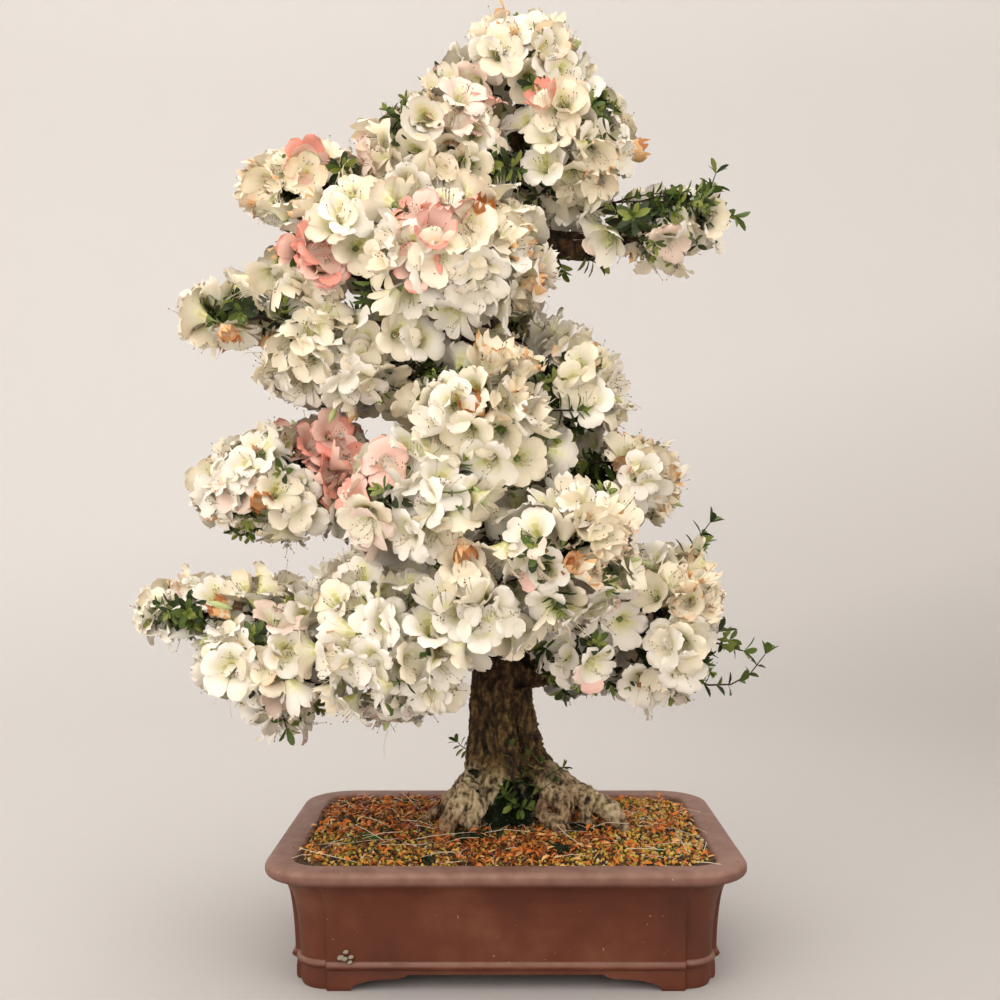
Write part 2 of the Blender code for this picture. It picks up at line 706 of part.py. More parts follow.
def build_boughs(parts, cutters, obstacles):
    """One tapering bough for each mass, cut to the trunk's surface."""
    trunk_space = add_object("trunk_space", loft("trunk_space", trunk_rings(GAP)), cutters)
    trunk_space.hide_render = True
    trunk_space.display_type = "WIRE"
    obstacles.append(tree_of(trunk_space.data))
    for mass in MASSES[:-1]:
        points, radii = bough_path(mass)
        bough = limb("bough_" + mass.name, points, radii)
        parts.objects.link(bough)
        subtract(bough, trunk_space)
        paint(bough, BARK)
        grown = limb("bough_space", points, [radius + GAP for radius in radii])
        obstacles.append(tree_of(grown.data))
        bpy.data.objects.remove(grown)


def build():
    """Builds the plant and carries it to its place."""
    clear_scene()
    parts = new_collection(PLANT_NAME)
    cutters = new_collection("cutters")
    obstacles = []
    build_pot(parts, cutters)
    build_soil(parts)
    build_trunk(parts)
    build_boughs(parts, cutters, obstacles)
    stretches = limb_stretches()
    for mass in MASSES:
        build_mass(mass, stretches, obstacles, parts)
    stand = bpy.data.objects.new("stand_point", None)
    stand.location = POT_MIDDLE
    bpy.context.scene.collection.objects.link(stand)
    for piece in list(parts.objects) + list(cutters.objects):
        piece.parent = stand


build()
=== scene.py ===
"""Azalea bonsai in full bloom: the looks of the plant, its pot and its soil.

The crown's masses, their boughs and the rule by which twigs spread in a mass are those of the
solids, carried here to finer twigs, whorls of leaves and single blossoms. Everything is worked
out about the pot's middle, as in the solids, and carried to its place when its mesh is made.
"""

import math
from collections import namedtuple
from random import Random

import bmesh
import bpy
import numpy as np
from mathutils import Matrix, Vector, noise
from mathutils.bvhtree import BVHTree
from mathutils.geometry import intersect_point_line


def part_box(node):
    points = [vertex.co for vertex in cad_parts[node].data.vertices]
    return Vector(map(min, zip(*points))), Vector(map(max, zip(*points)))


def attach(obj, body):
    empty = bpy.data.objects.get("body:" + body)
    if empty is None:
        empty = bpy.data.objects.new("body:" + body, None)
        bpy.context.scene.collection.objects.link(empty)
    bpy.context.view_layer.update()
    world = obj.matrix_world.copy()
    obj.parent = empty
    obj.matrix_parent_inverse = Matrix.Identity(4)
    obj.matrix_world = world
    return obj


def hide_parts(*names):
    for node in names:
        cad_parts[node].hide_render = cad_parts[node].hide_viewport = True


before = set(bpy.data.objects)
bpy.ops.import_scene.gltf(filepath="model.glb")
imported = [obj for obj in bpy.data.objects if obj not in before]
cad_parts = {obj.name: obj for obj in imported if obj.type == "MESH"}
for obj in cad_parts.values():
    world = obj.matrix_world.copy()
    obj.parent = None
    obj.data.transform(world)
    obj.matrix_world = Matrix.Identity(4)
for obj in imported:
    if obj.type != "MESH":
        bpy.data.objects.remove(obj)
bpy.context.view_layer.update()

pot_low, pot_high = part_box("pot")
HOME = Vector(((pot_low[0] + pot_high[0]) / 2, (pot_low[1] + pot_high[1]) / 2, 0.0))


def thousandths(rows):
    """The numbers of a table that gives them in thousandths, such as millimetres."""
    return [thousandths(row) if isinstance(row, tuple) else row / 1000 for row in rows]


# Camera and photograph: focal length and middle in the photograph's pixels
CAMERA_AWAY = 1.315
CAMERA_HEIGHT = 0.4705
PHOTO_SIZE = 1000
FOCAL = 1200
PHOTO_MIDDLE = (506, 510)
SENSOR = 36.0

# Trunk's axis, as in the solids
TRUNK_FOOT = 0.1238
TRUNK_TIP = 0.9085
TRUNK_ACROSS = -0.005
TRUNK_BACK = 0.042
SWAY_START = 0.280
SWAY = 0.045
LEAN = 0.020
FORWARD_CURVE = 1.5
TRUNK_RADIUS = 0.0385
TRUNK_TIP_RADIUS = 0.0065
TRUNK_TAPER = 0.85
TRUNK_STRETCHES = 12

# Boughs, as in the solids
BOUGH_STEPS = 4
BOUGH_TIP = 0.5
BOUGH_BEND = 0.45
BOUGH_ARCH = 0.05
ENTRY_LEVEL = 0.80
ENTRY_DROP = 0.45

# Each mass: its middle and half sizes, the height at which its bough leaves the trunk and that
# bough's radius there, all in millimetres, and how many in a thousand of its twigs end in leaves
Mass = namedtuple("Mass", "name middle half fork bough_radius leafiness")
MASSES = [Mass(name, Vector(thousandths(numbers[:3])), Vector(thousandths(numbers[3:6])),
               *thousandths(numbers[6:])) for name, *numbers in (
    ("low_left_outer", -251, -50, 310, 74, 85, 80, 355, 10.5, 150),
    ("low_left_inner", -114, -110, 333, 76, 82, 76, 326, 10, 120),
    ("low_left_tip", -346, -20, 364, 64, 52, 40, 387, 8, 600),
    ("low_front", -24, -130, 376, 56, 62, 55, 376, 8, 200),
    ("low_right_under", 84, -40, 332, 70, 72, 56, 326, 9, 300),
    ("low_right", 171, -50, 352, 68, 80, 84, 355, 10, 250),
    ("low_mid_right", 58, -130, 426, 73, 72, 64, 415, 9, 200),
    ("low_back_left", -129, 150, 348, 120, 88, 68, 341, 10, 250),
    ("low_back_right", 103, 150, 360, 105, 88, 68, 349, 10, 250),
    ("mid_left", -242, -25, 504, 94, 82, 73, 507, 9, 200),
    ("mid_front_low", -79, -140, 480, 73, 68, 60, 466, 8.5, 200),
    ("mid_front_high", -16, -120, 560, 71, 68, 65, 544, 8, 200),
    ("mid_right", 134, 5, 503, 62, 75, 60, 494, 8, 300),
    ("mid_back", -7, 140, 506, 120, 80, 78, 494, 9, 250),
    ("high_left_under", -164, -40, 630, 102, 82, 53, 614, 8, 200),
    ("right_shoulder", 77, -25, 618, 58, 80, 73, 604, 7.5, 400),
    ("back_upper_mid", -43, 115, 667, 105, 75, 68, 644, 7.5, 250),
    ("big_left", -205, -50, 734, 79, 82, 58, 716, 7, 200),
    ("big_front", -49, -100, 721, 91, 78, 65, 690, 7, 150),
    ("far_left_tip", -286, -40, 680, 64, 47, 40, 668, 6, 600),
    ("top_left_arm", -220, 0, 829, 74, 62, 50, 802, 5.5, 300),
    ("top_right_arm", 176, -10, 783, 78, 62, 56, 770, 11, 500),
    ("top_front_left", -69, -60, 844, 71, 68, 61, 832, 5, 200),
    ("top_right", 80, -20, 859, 69, 72, 69, 842, 5, 350),
    ("top_back", -7, 85, 856, 90, 70, 73, 810, 5, 250),
    ("apex", 15, -10, 953, 76, 68, 61, 908.5, 0, 400),
)]
# Leafy shoots that reach past the masses they grow from: mass, then the shoot's tip in
# millimetres
SHOOTS = (
    ("low_right", 250, -50, 322), ("low_right", 207, -60, 435),
    ("top_right_arm", 222, -10, 815), ("top_right_arm", 225, -20, 788),
    ("apex", -80, -10, 930), ("apex", 8, -10, 985),
    ("top_front_left", -110, -40, 880), ("top_right", 95, -30, 900),
    ("low_left_outer", -222, -100, 250), ("low_right_under", 62, -60, 285),
)
# Sprigs that stand clear of the crown, each by its start, bend and tip
SPRIGS = thousandths((
    ((185, -55, 296), (243, -60, 268), (272, -55, 319)),
    ((190, -60, 300), (205, -65, 325), (222, -60, 343)),
    ((175, -50, 405), (190, -55, 425), (214, -55, 457)),
    ((190, -10, 800), (222, -12, 808), (228, -10, 836)),
    ((190, -10, 795), (225, -12, 802), (248, -10, 791)),
    ((-290, -50, 352), (-325, -60, 350), (-346, -60, 358)),
    ((96, -30, 792), (135, -50, 804), (168, -50, 805)),
    ((135, -40, 796), (180, -52, 808), (208, -40, 802)),
    ((110, -40, 797), (150, -56, 796), (192, -50, 794)),
    ((50, -12, 755), (58, -16, 742), (60, -16, 732)),
    ((85, -12, 750), (90, -16, 740), (98, -16, 738)),
))
# Thin green shoots low on the trunk, the same way
TUFT = thousandths((
    ((12, -4, 150), (6, -14, 185), (7, -12, 214)), ((14, -4, 155), (30, -16, 180), (36, -14, 196)),
    ((16, -4, 150), (34, -18, 165), (50, -16, 176)), ((10, -4, 146), (4, -18, 158), (0, -18, 166)),
    ((12, -4, 142), (16, -20, 148), (22, -20, 150)), ((8, -4, 142), (6, -20, 150), (6, -20, 157)),
    ((30, -4, 170), (50, -12, 185), (61, -10, 190)), ((12, -4, 165), (18, -12, 185), (24, -10, 203)),
    ((-34, 22, 203), (-46, 12, 204), (-53, 10, 214)),
))

# Corners of the crown's outline in the photograph's pixels, thin sprigs left out
OUTLINE = np.array((
    (495, 18), (530, 16), (570, 28), (572, 60), (622, 112), (641, 150), (635, 166), (618, 180),
    (640, 192), (712, 197), (732, 216), (722, 234), (696, 246), (672, 275), (652, 268), (640, 252),
    (600, 270), (560, 274), (528, 300), (562, 330), (592, 345), (618, 370), (626, 395), (612, 432),
    (666, 455), (680, 476), (675, 505), (622, 522), (624, 543), (700, 552), (718, 605), (704, 645),
    (722, 660), (716, 685), (662, 706), (640, 713), (626, 692), (602, 690), (572, 704), (500, 690),
    (472, 700), (466, 716), (400, 723), (300, 752), (266, 734), (258, 710), (235, 692), (203, 700),
    (205, 640), (155, 633), (134, 624), (138, 600), (190, 580), (240, 578), (297, 566), (318, 572),
    (328, 564), (324, 538), (346, 532), (345, 520), (300, 544), (218, 546), (198, 500), (192, 474),
    (236, 443), (300, 418), (308, 404), (264, 384), (254, 364), (258, 348), (208, 346), (182, 316),
    (186, 299), (232, 284), (284, 252), (297, 232), (242, 208), (240, 188), (270, 158), (300, 147),
    (350, 139), (372, 126), (380, 107), (410, 98), (411, 76), (440, 67), (475, 34),
), float)
# How far from that outline a flower stays, in pixels, seen from its edge and from its face
OUTLINE_CLEARANCE = (4, 18)

# What the front of the crown shows where: middle and half sizes in the photograph's pixels
Patch = namedtuple("Patch", "kind column row wide high")
PATCHES = [Patch(kind, *place) for kind, *places in (
    ("bare", (548, 250, 28, 14), (585, 264, 24, 14), (465, 330, 6, 6), (508, 668, 44, 22),
     (548, 684, 16, 12), (680, 168, 80, 16), (745, 245, 18, 60)),
    ("leafy", (515, 22, 16, 12), (500, 70, 22, 8), (425, 80, 24, 14), (395, 107, 16, 12),
     (590, 106, 26, 13), (507, 150, 24, 22), (360, 172, 17, 14), (664, 206, 62, 15),
     (585, 262, 28, 12), (260, 310, 32, 15), (285, 330, 14, 10), (430, 378, 32, 14),
     (545, 372, 18, 26), (568, 412, 20, 20), (460, 474, 20, 12), (592, 480, 20, 22),
     (530, 537, 14, 20), (405, 560, 22, 13), (196, 617, 30, 12), (575, 692, 28, 13),
     (700, 530, 14, 20), (722, 662, 40, 26)),
    ("peach", (560, 42, 14, 16), (605, 178, 18, 26), (257, 196, 22, 18), (505, 375, 20, 30),
     (492, 425, 14, 36), (660, 455, 20, 22), (668, 500, 16, 18), (592, 540, 34, 34),
     (685, 590, 30, 26), (640, 600, 22, 18), (300, 185, 20, 14), (530, 262, 14, 18)),
    ("salmon", (487, 92, 14, 13), (515, 104, 14, 14)), ("blush", (465, 104, 22, 20)),
    ("salmon", (312, 151, 13, 11)), ("blush", (352, 148, 22, 18)),
    ("salmon", (436, 214, 26, 17), (316, 247, 22, 18), (312, 436, 27, 30), (362, 426, 22, 22),
     (343, 474, 20, 26), (415, 272, 10, 14)),
    ("blush", (355, 548, 26, 18)), ("streaked", (510, 535, 22, 18), (345, 620, 20, 14)),
    ("rust", (240, 607, 26, 10), (575, 570, 14, 14), (222, 338, 12, 14), (490, 400, 10, 12)),
) for place in places]

# Roots and ridges of the trunk's foot: points of their middle lines with the radius at each
ROOTS = thousandths((
    ((-35, 10, 175, 14), (-60, 18, 151, 10), (-92, 24, 122, 4.5)),
    ((-39, -4, 165, 15), (-55, -14, 143, 12), (-68, -22, 122, 7)),
    ((-30, -6, 154, 13), (-35, -16, 141, 11), (-42, -23, 128, 8)),
    ((10, 10, 150, 8), (18, 0, 141, 6.5), (30, -7, 126, 4.5)),
    ((36, -4, 143, 7), (54, -20, 131, 9), (66, -25, 120, 8)),
    ((48, 4, 166, 9), (42, -2, 153, 7), (32, -5, 136, 5)),
    ((22, 20, 206, 18), (40, 18, 180, 18), (66, 10, 163, 16), (94, 2, 152, 13),
     (117, -9, 141, 10), (132, -19, 120, 7)),
    ((30, 6, 190, 10), (46, 0, 166, 12), (62, -8, 150, 10)),
    ((64, 2, 160, 11), (65, -10, 147, 9), (61, -15, 128, 5)),
    ((82, 0, 156, 10), (86, -8, 145, 7), (88, -11, 130, 4)),
    ((30, 45, 170, 16), (70, 50, 147, 11), (112, 52, 121, 5)),
    ((-30, 70, 165, 15), (-52, 75, 143, 11), (-74, 79, 121, 6)),
    ((-10, 76, 165, 14), (-16, 88, 140, 11), (-19, 96, 120, 6)),
    ((20, 73, 165, 14), (30, 85, 142, 11), (37, 93, 120, 6)),
    ((19, 12, 274, 10), (24, 10, 247, 9.5), (26, 12, 218, 10), (30, 14, 188, 13)),
    ((30, 14, 224, 6), (34.5, 13, 217, 8), (32, 14, 209, 5.5)),
    ((26, 13, 240, 5), (31.5, 12, 232, 7.5), (29, 13, 225, 5)),
    ((-34, 25, 262, 8), (-32, 18, 225, 11), (-33, 16, 185, 14)),
    ((-8, 4, 250, 8), (2, 0, 215, 10), (12, 4, 175, 12)),
))
STUB = thousandths(((-3, 36, 281, 18.5), (20, 31, 285, 16.5), (44, 27, 288, 15.5),
                    (46.5, 26.5, 288.5, 14.5)))
# Heavy low limb on the right that shows bare between the masses
BARE_LIMB = thousandths((
    (0, 8, 776, 12), (24, 2, 766, 11.5), (56, -4, 757, 11.5), (84, -6, 753, 11),
    (104, -7, 753, 10), (120, -8, 757, 8.5), (136, -8, 765, 6.5), (152, -8, 773, 4.5)))
BARK_VOXEL = 0.00165
BOUGH_VOXEL = 0.0016
# The roots' bark gives way to the trunk's between these heights
ROOT_TOP = (0.165, 0.215)
# How fast the bark's patterns change, some of them round the trunk and along it, and how far
# they twist round it
PLATE_SCALE, RIDGE_SCALE, GRAIN_SCALE = (85, 26), (120, 24), (260, 150)
WARP_SCALE, LUMP_SCALE, KNOB_SCALE = 45, 30, 95
TWIST = 4.0
# How far lumps, plates, ridges and grain raise the bark, and what raises that of the roots
BARK_LUMP, BARK_PLATE, BARK_RIDGE, BARK_GRAIN = 0.0038, 0.0022, 0.0020, 0.0015
ROOT_LUMP, ROOT_KNOB, ROOT_RIDGE = 0.0020, 0.0013, 0.0010
# Limbs before their skin: sides and steps, how deep the trunk starts, and its foot's flare
LIMB_SIDES = 20
LIMB_STEPS = 4
CORE_STEPS = 48
BURIED = 0.004
FLARE, FLARE_TOP = 0.010, (0.13, 0.21)
# Hollows between the roots, darkened as painted shade: where they end, and how near a root hides a
# place
HOLLOWS_END = (0.19, 0.235)
HOLLOW_REACH = 0.045
# Moss covers the trunk's front about this place, up to this height
MOSS_ACROSS = 0.004
MOSS_TOP = 0.176
MOSS_WIDTH, MOSS_NARROWS = 0.026, (0.125, 0.195)

# Pot: outline of its rim, then height, inset and depth of the corners' grooves up its outside
RIM_WIDTH = 0.480
RIM_DEPTH = 0.345
RIM_CORNER = 0.057
RIM_TOP = 0.1262
LEAST_CORNER = 0.012
CORNER_STEPS = 12
GROOVE_STEPS = 5
GROOVE = 0.0055
GROOVE_LENGTH = 0.0085
PLAIN_LENGTH = 0.004
PROFILE_STEPS = 4
SHARP_ANGLE = math.radians(38)
POT_OUTSIDE = thousandths((
    (0, 31, 1000), (4, 29.5, 1000), (13, 29.5, 1000), (19, 30.2, 1000), (20.5, 30, 1000),
    (22.5, 26.2, 1000), (25, 24.8, 1000), (27.5, 26.2, 1000), (29.2, 28.2, 1000), (33, 28.2, 1000),
    (58, 26.8, 1000), (83, 23.5, 900), (95, 19.8, 700), (103, 15, 500), (108, 9, 250),
    (110.5, 3.5, 50), (113, 0.8, 0), (117, 0, 0), (121, 1, 0), (123.8, 4, 0), (124.5, 9, 0),
))
POT_LIP = thousandths(((124.3, 24, 0), (123.2, 28, 0), (120, 30.2, 0)))
POT_FLOOR = thousandths((28.5, 40, 0))
# Half lengths of the arches between the feet along the long and the short sides, and each
# arch's outline: which half length, then how far inside it and how high in millimetres
ARCH_HALVES = {"opening": (0.153, 0.086), "toe": (0.137, 0.072), "scroll": (0.096, 0.046)}
ARCH_SIDE = (
    ("opening", 0, -2), ("opening", 1, 3), ("opening", 5, 6.5),
    ("toe", 0, 9.5), ("toe", 8, 11.2), ("toe", 20, 12),
    ("scroll", -10, 12.6), ("scroll", -3, 14), ("scroll", 0, 16.5),
)
ARCH_RISE = (1.0, 0.93)

# Soil and what lies on it
SOIL_EDGE_INSET = 0.0306
SOIL_WIDE, SOIL_DEEP = RIM_WIDTH / 2 - SOIL_EDGE_INSET, RIM_DEPTH / 2 - SOIL_EDGE_INSET
SOIL_EDGE = 0.1195
SOIL_TOP = 0.1225
SOIL_RINGS = 44
SOIL_PIECE = 0.004
SOIL_THICKNESS = 0.02
# What lies where on the soil: kind, place and radius
Ground = namedtuple("Ground", "kind across back radius")
GROUND = [Ground(kind, *thousandths(place)) for kind, *places in (
    ("moss_bright", (-149, -47, 17)), ("moss_dark", (-174, 26, 12), (-116, 109, 12)),
    ("moss_bright", (-92, 13, 10)),
    ("moss_dark", (-38, -36, 20), (-80, -124, 10), (55, -86, 14), (107, 48, 12), (-6, 6, 24),
     (80, -6, 20)),
    ("moss_bright", (160, -95, 9)), ("moss_dark", (-128, -20, 10)),
    ("dried", (24, -85, 46), (-37, -80, 34), (-181, 80, 50), (90, -50, 22), (170, -5, 22),
     (-105, 60, 30)),
    ("grain", (-192, -74, 52), (-107, -92, 42), (162, -62, 60), (195, 55, 50), (93, -120, 36),
     (120, 95, 50)),
) for place in places]
# Bits on the pot's rim: place, turn, length and slot; then thin straws by their points
RIM_BITS = (
    (-0.206, -0.092, 0.3, 0.011, 0), (-0.209, -0.103, 1.2, 0.009, 2), (-0.214, -0.098, 2.1, 0.008, 1),
    (-0.213, -0.010, 0.2, 0.008, 2), (0.060, 0.152, 0.4, 0.007, 0),
)
RIM_STRAWS = thousandths((
    ((-212, -128, 126.2), (-203, -121, 127.5), (-194, -119, 126.8)),
    ((186, -141, 126.2), (197, -146, 127.2), (209, -149, 126.2)),
    ((193, 52, 126.2), (205, 60, 128.5), (222, 52, 126.2)),
    ((200, -10, 124), (206, -28, 129), (214, -34, 126.2)),
    ((196, -60, 123), (206, -82, 129), (200, -100, 124)),
))
# Small lumps of dirt low on the pot's front: place, height and size
PEBBLES = thousandths((
    (-161, 34.5, 3), (-156, 40, 2.4), (-157, 33.2, 2.6), (-151, 35, 2.4), (-152, 30, 2.2)))
PEBBLE_BACK = -RIM_DEPTH / 2 + 0.0262
PEBBLE_PROFILE = ((-1.1, 0.2), (-0.8, 0.6), (-0.3, 0.85), (0.3, 0.85), (0.8, 0.6), (1.1, 0.2))
GRAINS = 5000
DRIED_PETALS = 6400
MOSS_BLADES = 6400
MOSS_BANK_BLADES = 3800
STRAWS = 130
STRAW_REACH = 0.88
RIM_STRAW = 0.00045
# Sizes between which the litter's pieces are dealt
GRAIN_SIZE, DRIED_SIZE, DRIED_LIFT = (0.0013, 0.0029), (0.0060, 0.0125), (0.0006, 0.0042)
BLADE_LENGTH, BANK_BLADE_LENGTH = (0.0025, 0.0060), (0.0018, 0.0045)
STRAW_LENGTH, STRAW_RADIUS = (0.012, 0.060), (0.00024, 0.00050)
# Shares of grains left out where petals lie, and of petals where grains or moss do
GRAINS_OMITTED = 0.6
PETALS_OMITTED = {"grain": 0.68, "moss_dark": 0.9, "moss_bright": 0.9}
# How often each colour is dealt on the left and the right of the soil, and where grains change
GRAIN_SPLIT, LEFT_GRAINS, RIGHT_GRAINS = 0.04, (40, 24, 22, 5, 16), (40, 34, 10, 14, 8)
LEFT_PETALS, RIGHT_PETALS = (44, 42, 14), (56, 22, 22)

# How masses run together at the front and at the back: the higher, the less one swells
# towards the next; and the steps in which their edge is sought
BLEND = 1.15
BACK_BLEND = 0.80
MARCH = 0.03
FARTHEST = 1.62
NEIGHBOURS = 0.2
# Unevenness of the crown: how far a place moves, and how many such swells there are to a metre
SWELL = 0.018
SWELLS = 13
SWELL_SEED = 4
FLAT_UNDERSIDE = 0.94
# How far to the front or the back of the trunk's foot a blossom may sit
DEEPEST = 0.220

# How far behind a mass's middle the patches still hold, and how far back in the crown the bare
# ones do; what a metre to the back counts in pixels when a patch's own flower is sought
PATCH_DEPTH = 0.02
BARE_DEPTH = 0.06
BACK_PENALTY = 300
# Swing of the places' directions; how steeply the ones below face down, and their leaves' share
SITE_SWING = 0.16
UNDERSIDE = -0.5
UNDER_LEAVES = 0.12
# Shares of the kinds of blossom at the crown's foot, and how much more of each at its top
KIND_SHARES = (("peach", 0.01, 0.09), ("streaked", 0.04, 0), ("blush", 0.015, 0),
               ("rust", 0.008, 0.014), ("salmon", 0.003, 0), ("cream", 0.20, 0.30))
CROWN_FOOT, CROWN_RISE = 0.3, 0.7
# How much of a mass's leafiness counts where a place faces up or ahead, and where it faces down
LEAFY_ABOVE, LEAFY_BELOW, FACES_DOWN = 0.2, 0.45, -0.3
Site = namedtuple("Site", "mass point facing kind inner")

# Blossoms
PETALS = 5
PETAL_COLUMNS = 5
# Distance from the flower's axis, height above its rim, and half the petal's width in degrees
PETAL_ROWS = (
    (0.0034, -0.0165, 36.0), (0.0078, -0.0092, 37.0), (0.0122, -0.0048, 39.0), (0.0166, -0.0018, 39.5),
    (0.0210, -0.0002, 35.5), (0.0247, 0.0000, 27.0), (0.0268, -0.0008, 13.0),
)
PETAL_CUP = 0.0016
ROW_TRIANGLES = 2 * (PETAL_COLUMNS - 1)
PETAL_TRIANGLES = ROW_TRIANGLES * (len(PETAL_ROWS) - 1)
# Rings of a petal's rows from the throat on, by the marking down its middle or beside it
BLOTCHED, FLUSHED, CLEAR = (0, 1, 2, 3, 4, 4), (1, 2, 3, 4, 4, 4), (2, 3, 4, 4, 4, 4)
# Slots of the five rings of each kind of blossom, and the shape it has
KINDS = {
    "white": ((0, 1, 2, 3, 4), "open"), "cream": ((0, 1, 2, 3, 5), "open"),
    "streaked": ((0, 1, 2, 3, 4), "open"), "blush": ((1, 2, 3, 6, 6), "open"),
    "salmon": ((6, 8, 8, 8, 8), "open"), "peach": ((1, 2, 3, 5, 5), "wilted"),
    "rust": ((9, 9, 10, 9, 10), "crumpled"),
}
# Spread, lift, ruffle and curl of each shape
SHAPES = {
    "open": (1.0, 0.000, 0.0021, -0.0008), "half": (0.74, 0.011, 0.0022, 0.0010),
    "wilted": (0.78, 0.005, 0.0040, 0.0050), "crumpled": (0.52, 0.010, 0.0052, 0.0070),
}
HALF_OPEN_SHARE = 0.14
CRUMPLED_SCALE = 0.75
BLOOM_SCALE = (0.92, 1.15)
BLOOM_SPACING = 0.0285
BLOOM_LEVEL = (0.82, 1.03)
BLOOM_TILT = 0.34
BLOOM_VARIANTS = 8
INNER_LEVEL = (0.64, 0.78)
PEDICEL = 0.010
TUBE_LENGTH = 0.0222
CALYX_LENGTH = 0.0062
LIMB_CLEARANCE = 0.009
STAMENS = 6
FILAMENT = 0.00034
ANTHER = (0.00064, 0.0005)
STYLE_REACH = 0.018
STAMEN_AWAY, STAMEN_REACH, THROAT = (0.003, 0.010), (0.002, 0.011), -0.018
# Places and radii along a bud and a calyx
BUD_STEPS, BUD_RADII = (0, 0.008, 0.017, 0.024), (0.0010, 0.0030, 0.0036, 0.0010)
CALYX_STEPS, CALYX_RADII = (-0.006, 0, 0.004), (0.0008, 0.0022, 0.0030)
THREAD_LENGTH = (0.022, 0.042)
THREAD = 0.00028
# Chances under which a place grows a bud, a thread with its calyx, or a bare thread, of which
# there are more above a height
BUD_CHANCE = 0.045
CALYX_CHANCE = 0.09
THREAD_CHANCES = (0.12, 0.22)
THREADS_RISE = 0.72

# Leaves and twigs
LEAF_LENGTH = 0.020
LEAF_WIDTH = 0.0085
LEAF_FACES = np.array([(0, 2, 1), (0, 3, 2), (1, 2, 5), (1, 5, 4), (2, 3, 6), (2, 6, 5),
                       (4, 5, 8), (4, 8, 7), (5, 6, 9), (5, 9, 8), (7, 8, 10), (8, 9, 10)])
LEAF_SPACING = 0.011
RING_SHARE = 0.45
LEAVES_SPLIT = 0.6
SPRAY_VARIANTS = 6
# Whorls of a spray and of the leaves behind a blossom: height, leaves, tilt, length and slot; slot 0,
# the dark green of leaves in shade, is painted shade on the lower whorls
SPRAY = ((-0.016, 4, 0.10, 0.021, 0), (-0.006, 5, 0.30, 0.021, 0), (0.003, 5, 0.60, 0.018, 1),
         (0.010, 4, 1.05, 0.012, 2))
RING = ((0.0, 3, 0.10, 0.018, 0), (0.006, 2, 0.40, 0.016, 1))
TWIG_ROOM = 0.032
TWIG_RADII = (0.0014, 0.0011, 0.0009)
STEM_WIDTHS = (1, 0.8, 0.6)

PETAL_SLOTS = ("throat", "lime", "pale", "faint", "white", "cream", "blush", "salmon", "rose",
               "peach", "tan", "rust")
BLUSH, SALMON, ROSE, PEACH, TAN, RUST = range(6, 12)
# The first leaf colour is the green of leaves in shade: painted shade
LEAF_SLOTS = ("leaf_dark", "leaf_mid", "leaf_light")
# The first moss colour is near-black: real moss with painted shade in it
MOSS_SLOTS = ("moss_dark", "moss_bright")
GRAIN_SLOTS = ("grain_ochre", "grain_yellow", "grain_olive", "grain_pale", "grain_dark", "pebble")
DARK_GRAIN = GRAIN_SLOTS.index("grain_dark")
# Plain colours, in thousandths
COLORS = {
    "throat": (540, 540, 150), "lime": (730, 690, 310), "pale": (870, 830, 530),
    "faint": (905, 860, 660), "white": (935, 878, 770), "cream": (935, 840, 650),
    "blush": (930, 740, 625), "salmon": (900, 370, 290), "rose": (920, 600, 500),
    "peach": (930, 745, 530), "tan": (850, 490, 220), "rust": (460, 160, 40),
    # The darkest leaf green is that of leaves in shade: painted shade.
    "leaf_dark": (30, 50, 10), "leaf_mid": (90, 140, 22), "leaf_light": (230, 270, 50),
    "twig": (45, 28, 18), "stalk": (220, 280, 80), "bud": (500, 560, 240),
    "calyx": (380, 140, 40), "filament": (860, 820, 640), "anther": (260, 85, 40),
    "thread": (720, 560, 420), "grain_ochre": (520, 285, 30), "grain_yellow": (680, 460, 75),
    "grain_olive": (190, 180, 30), "grain_pale": (640, 520, 270), "grain_dark": (60, 35, 14),
    "dried_orange": (660, 170, 20), "dried_brown": (230, 60, 14), "dried_tan": (760, 410, 150),
    # The darker moss is near-black: real moss with painted shade in it
    "straw": (760, 650, 470), "moss_dark": (12, 24, 5), "moss_bright": (70, 150, 18),
    "pebble": (300, 270, 200),
}
OCTAHEDRON = np.array([(1, 0, 0), (-1, 0, 0), (0, 1, 0), (0, -1, 0), (0, 0, 1), (0, 0, -1)], float)
OCTAHEDRON_FACES = np.array([(0, 2, 4), (2, 1, 4), (1, 3, 4), (3, 0, 4),
                             (2, 0, 5), (1, 2, 5), (3, 1, 5), (0, 3, 5)])

# Soft lamps: place about the pot's middle, and power
LAMPS = {"key": ((-1.5, -1.7, 1.6), 52), "fill": ((1.6, -1.7, 1.1), 36),
         "front": ((-0.7, -2.1, 1.0), 31), "back": ((-0.6, 1.9, 2.0), 18)}
LAMP_SIZE = 0.9
LAMP_COLOR = (1.0, 0.975, 0.94)
# Studio: flat floor's radius, radius of the bend up into the wall, and the wall's height
FLOOR_RADIUS = 1.6
FLOOR_BEND = 2.2
WALL_TOP = 5.0
STUDIO_SIDES = 64
BEND_STEPS = 12


def photo_place(point):
    """Column and row of the photograph where a point of the plant shows."""
    away = CAMERA_AWAY + point.y
    return (PHOTO_MIDDLE[0] + FOCAL * point.x / away,
            PHOTO_MIDDLE[1] - FOCAL * (point.z - CAMERA_HEIGHT) / away)


def plain_material(name, color, roughness):
    """Material of one plain colour."""
    material = bpy.data.materials.new(name)
    material.use_nodes = True
    shader = material.node_tree.nodes["Principled BSDF"]
    shader.inputs["Base Color"].default_value = (*color, 1.0)
    shader.inputs["Roughness"].default_value = roughness
    return material


def shared_material(name, roughness):
    """The plain material of a name in COLORS, made once."""
    return bpy.data.materials.get(name) or plain_material(name, thousandths(COLORS[name]), roughness)


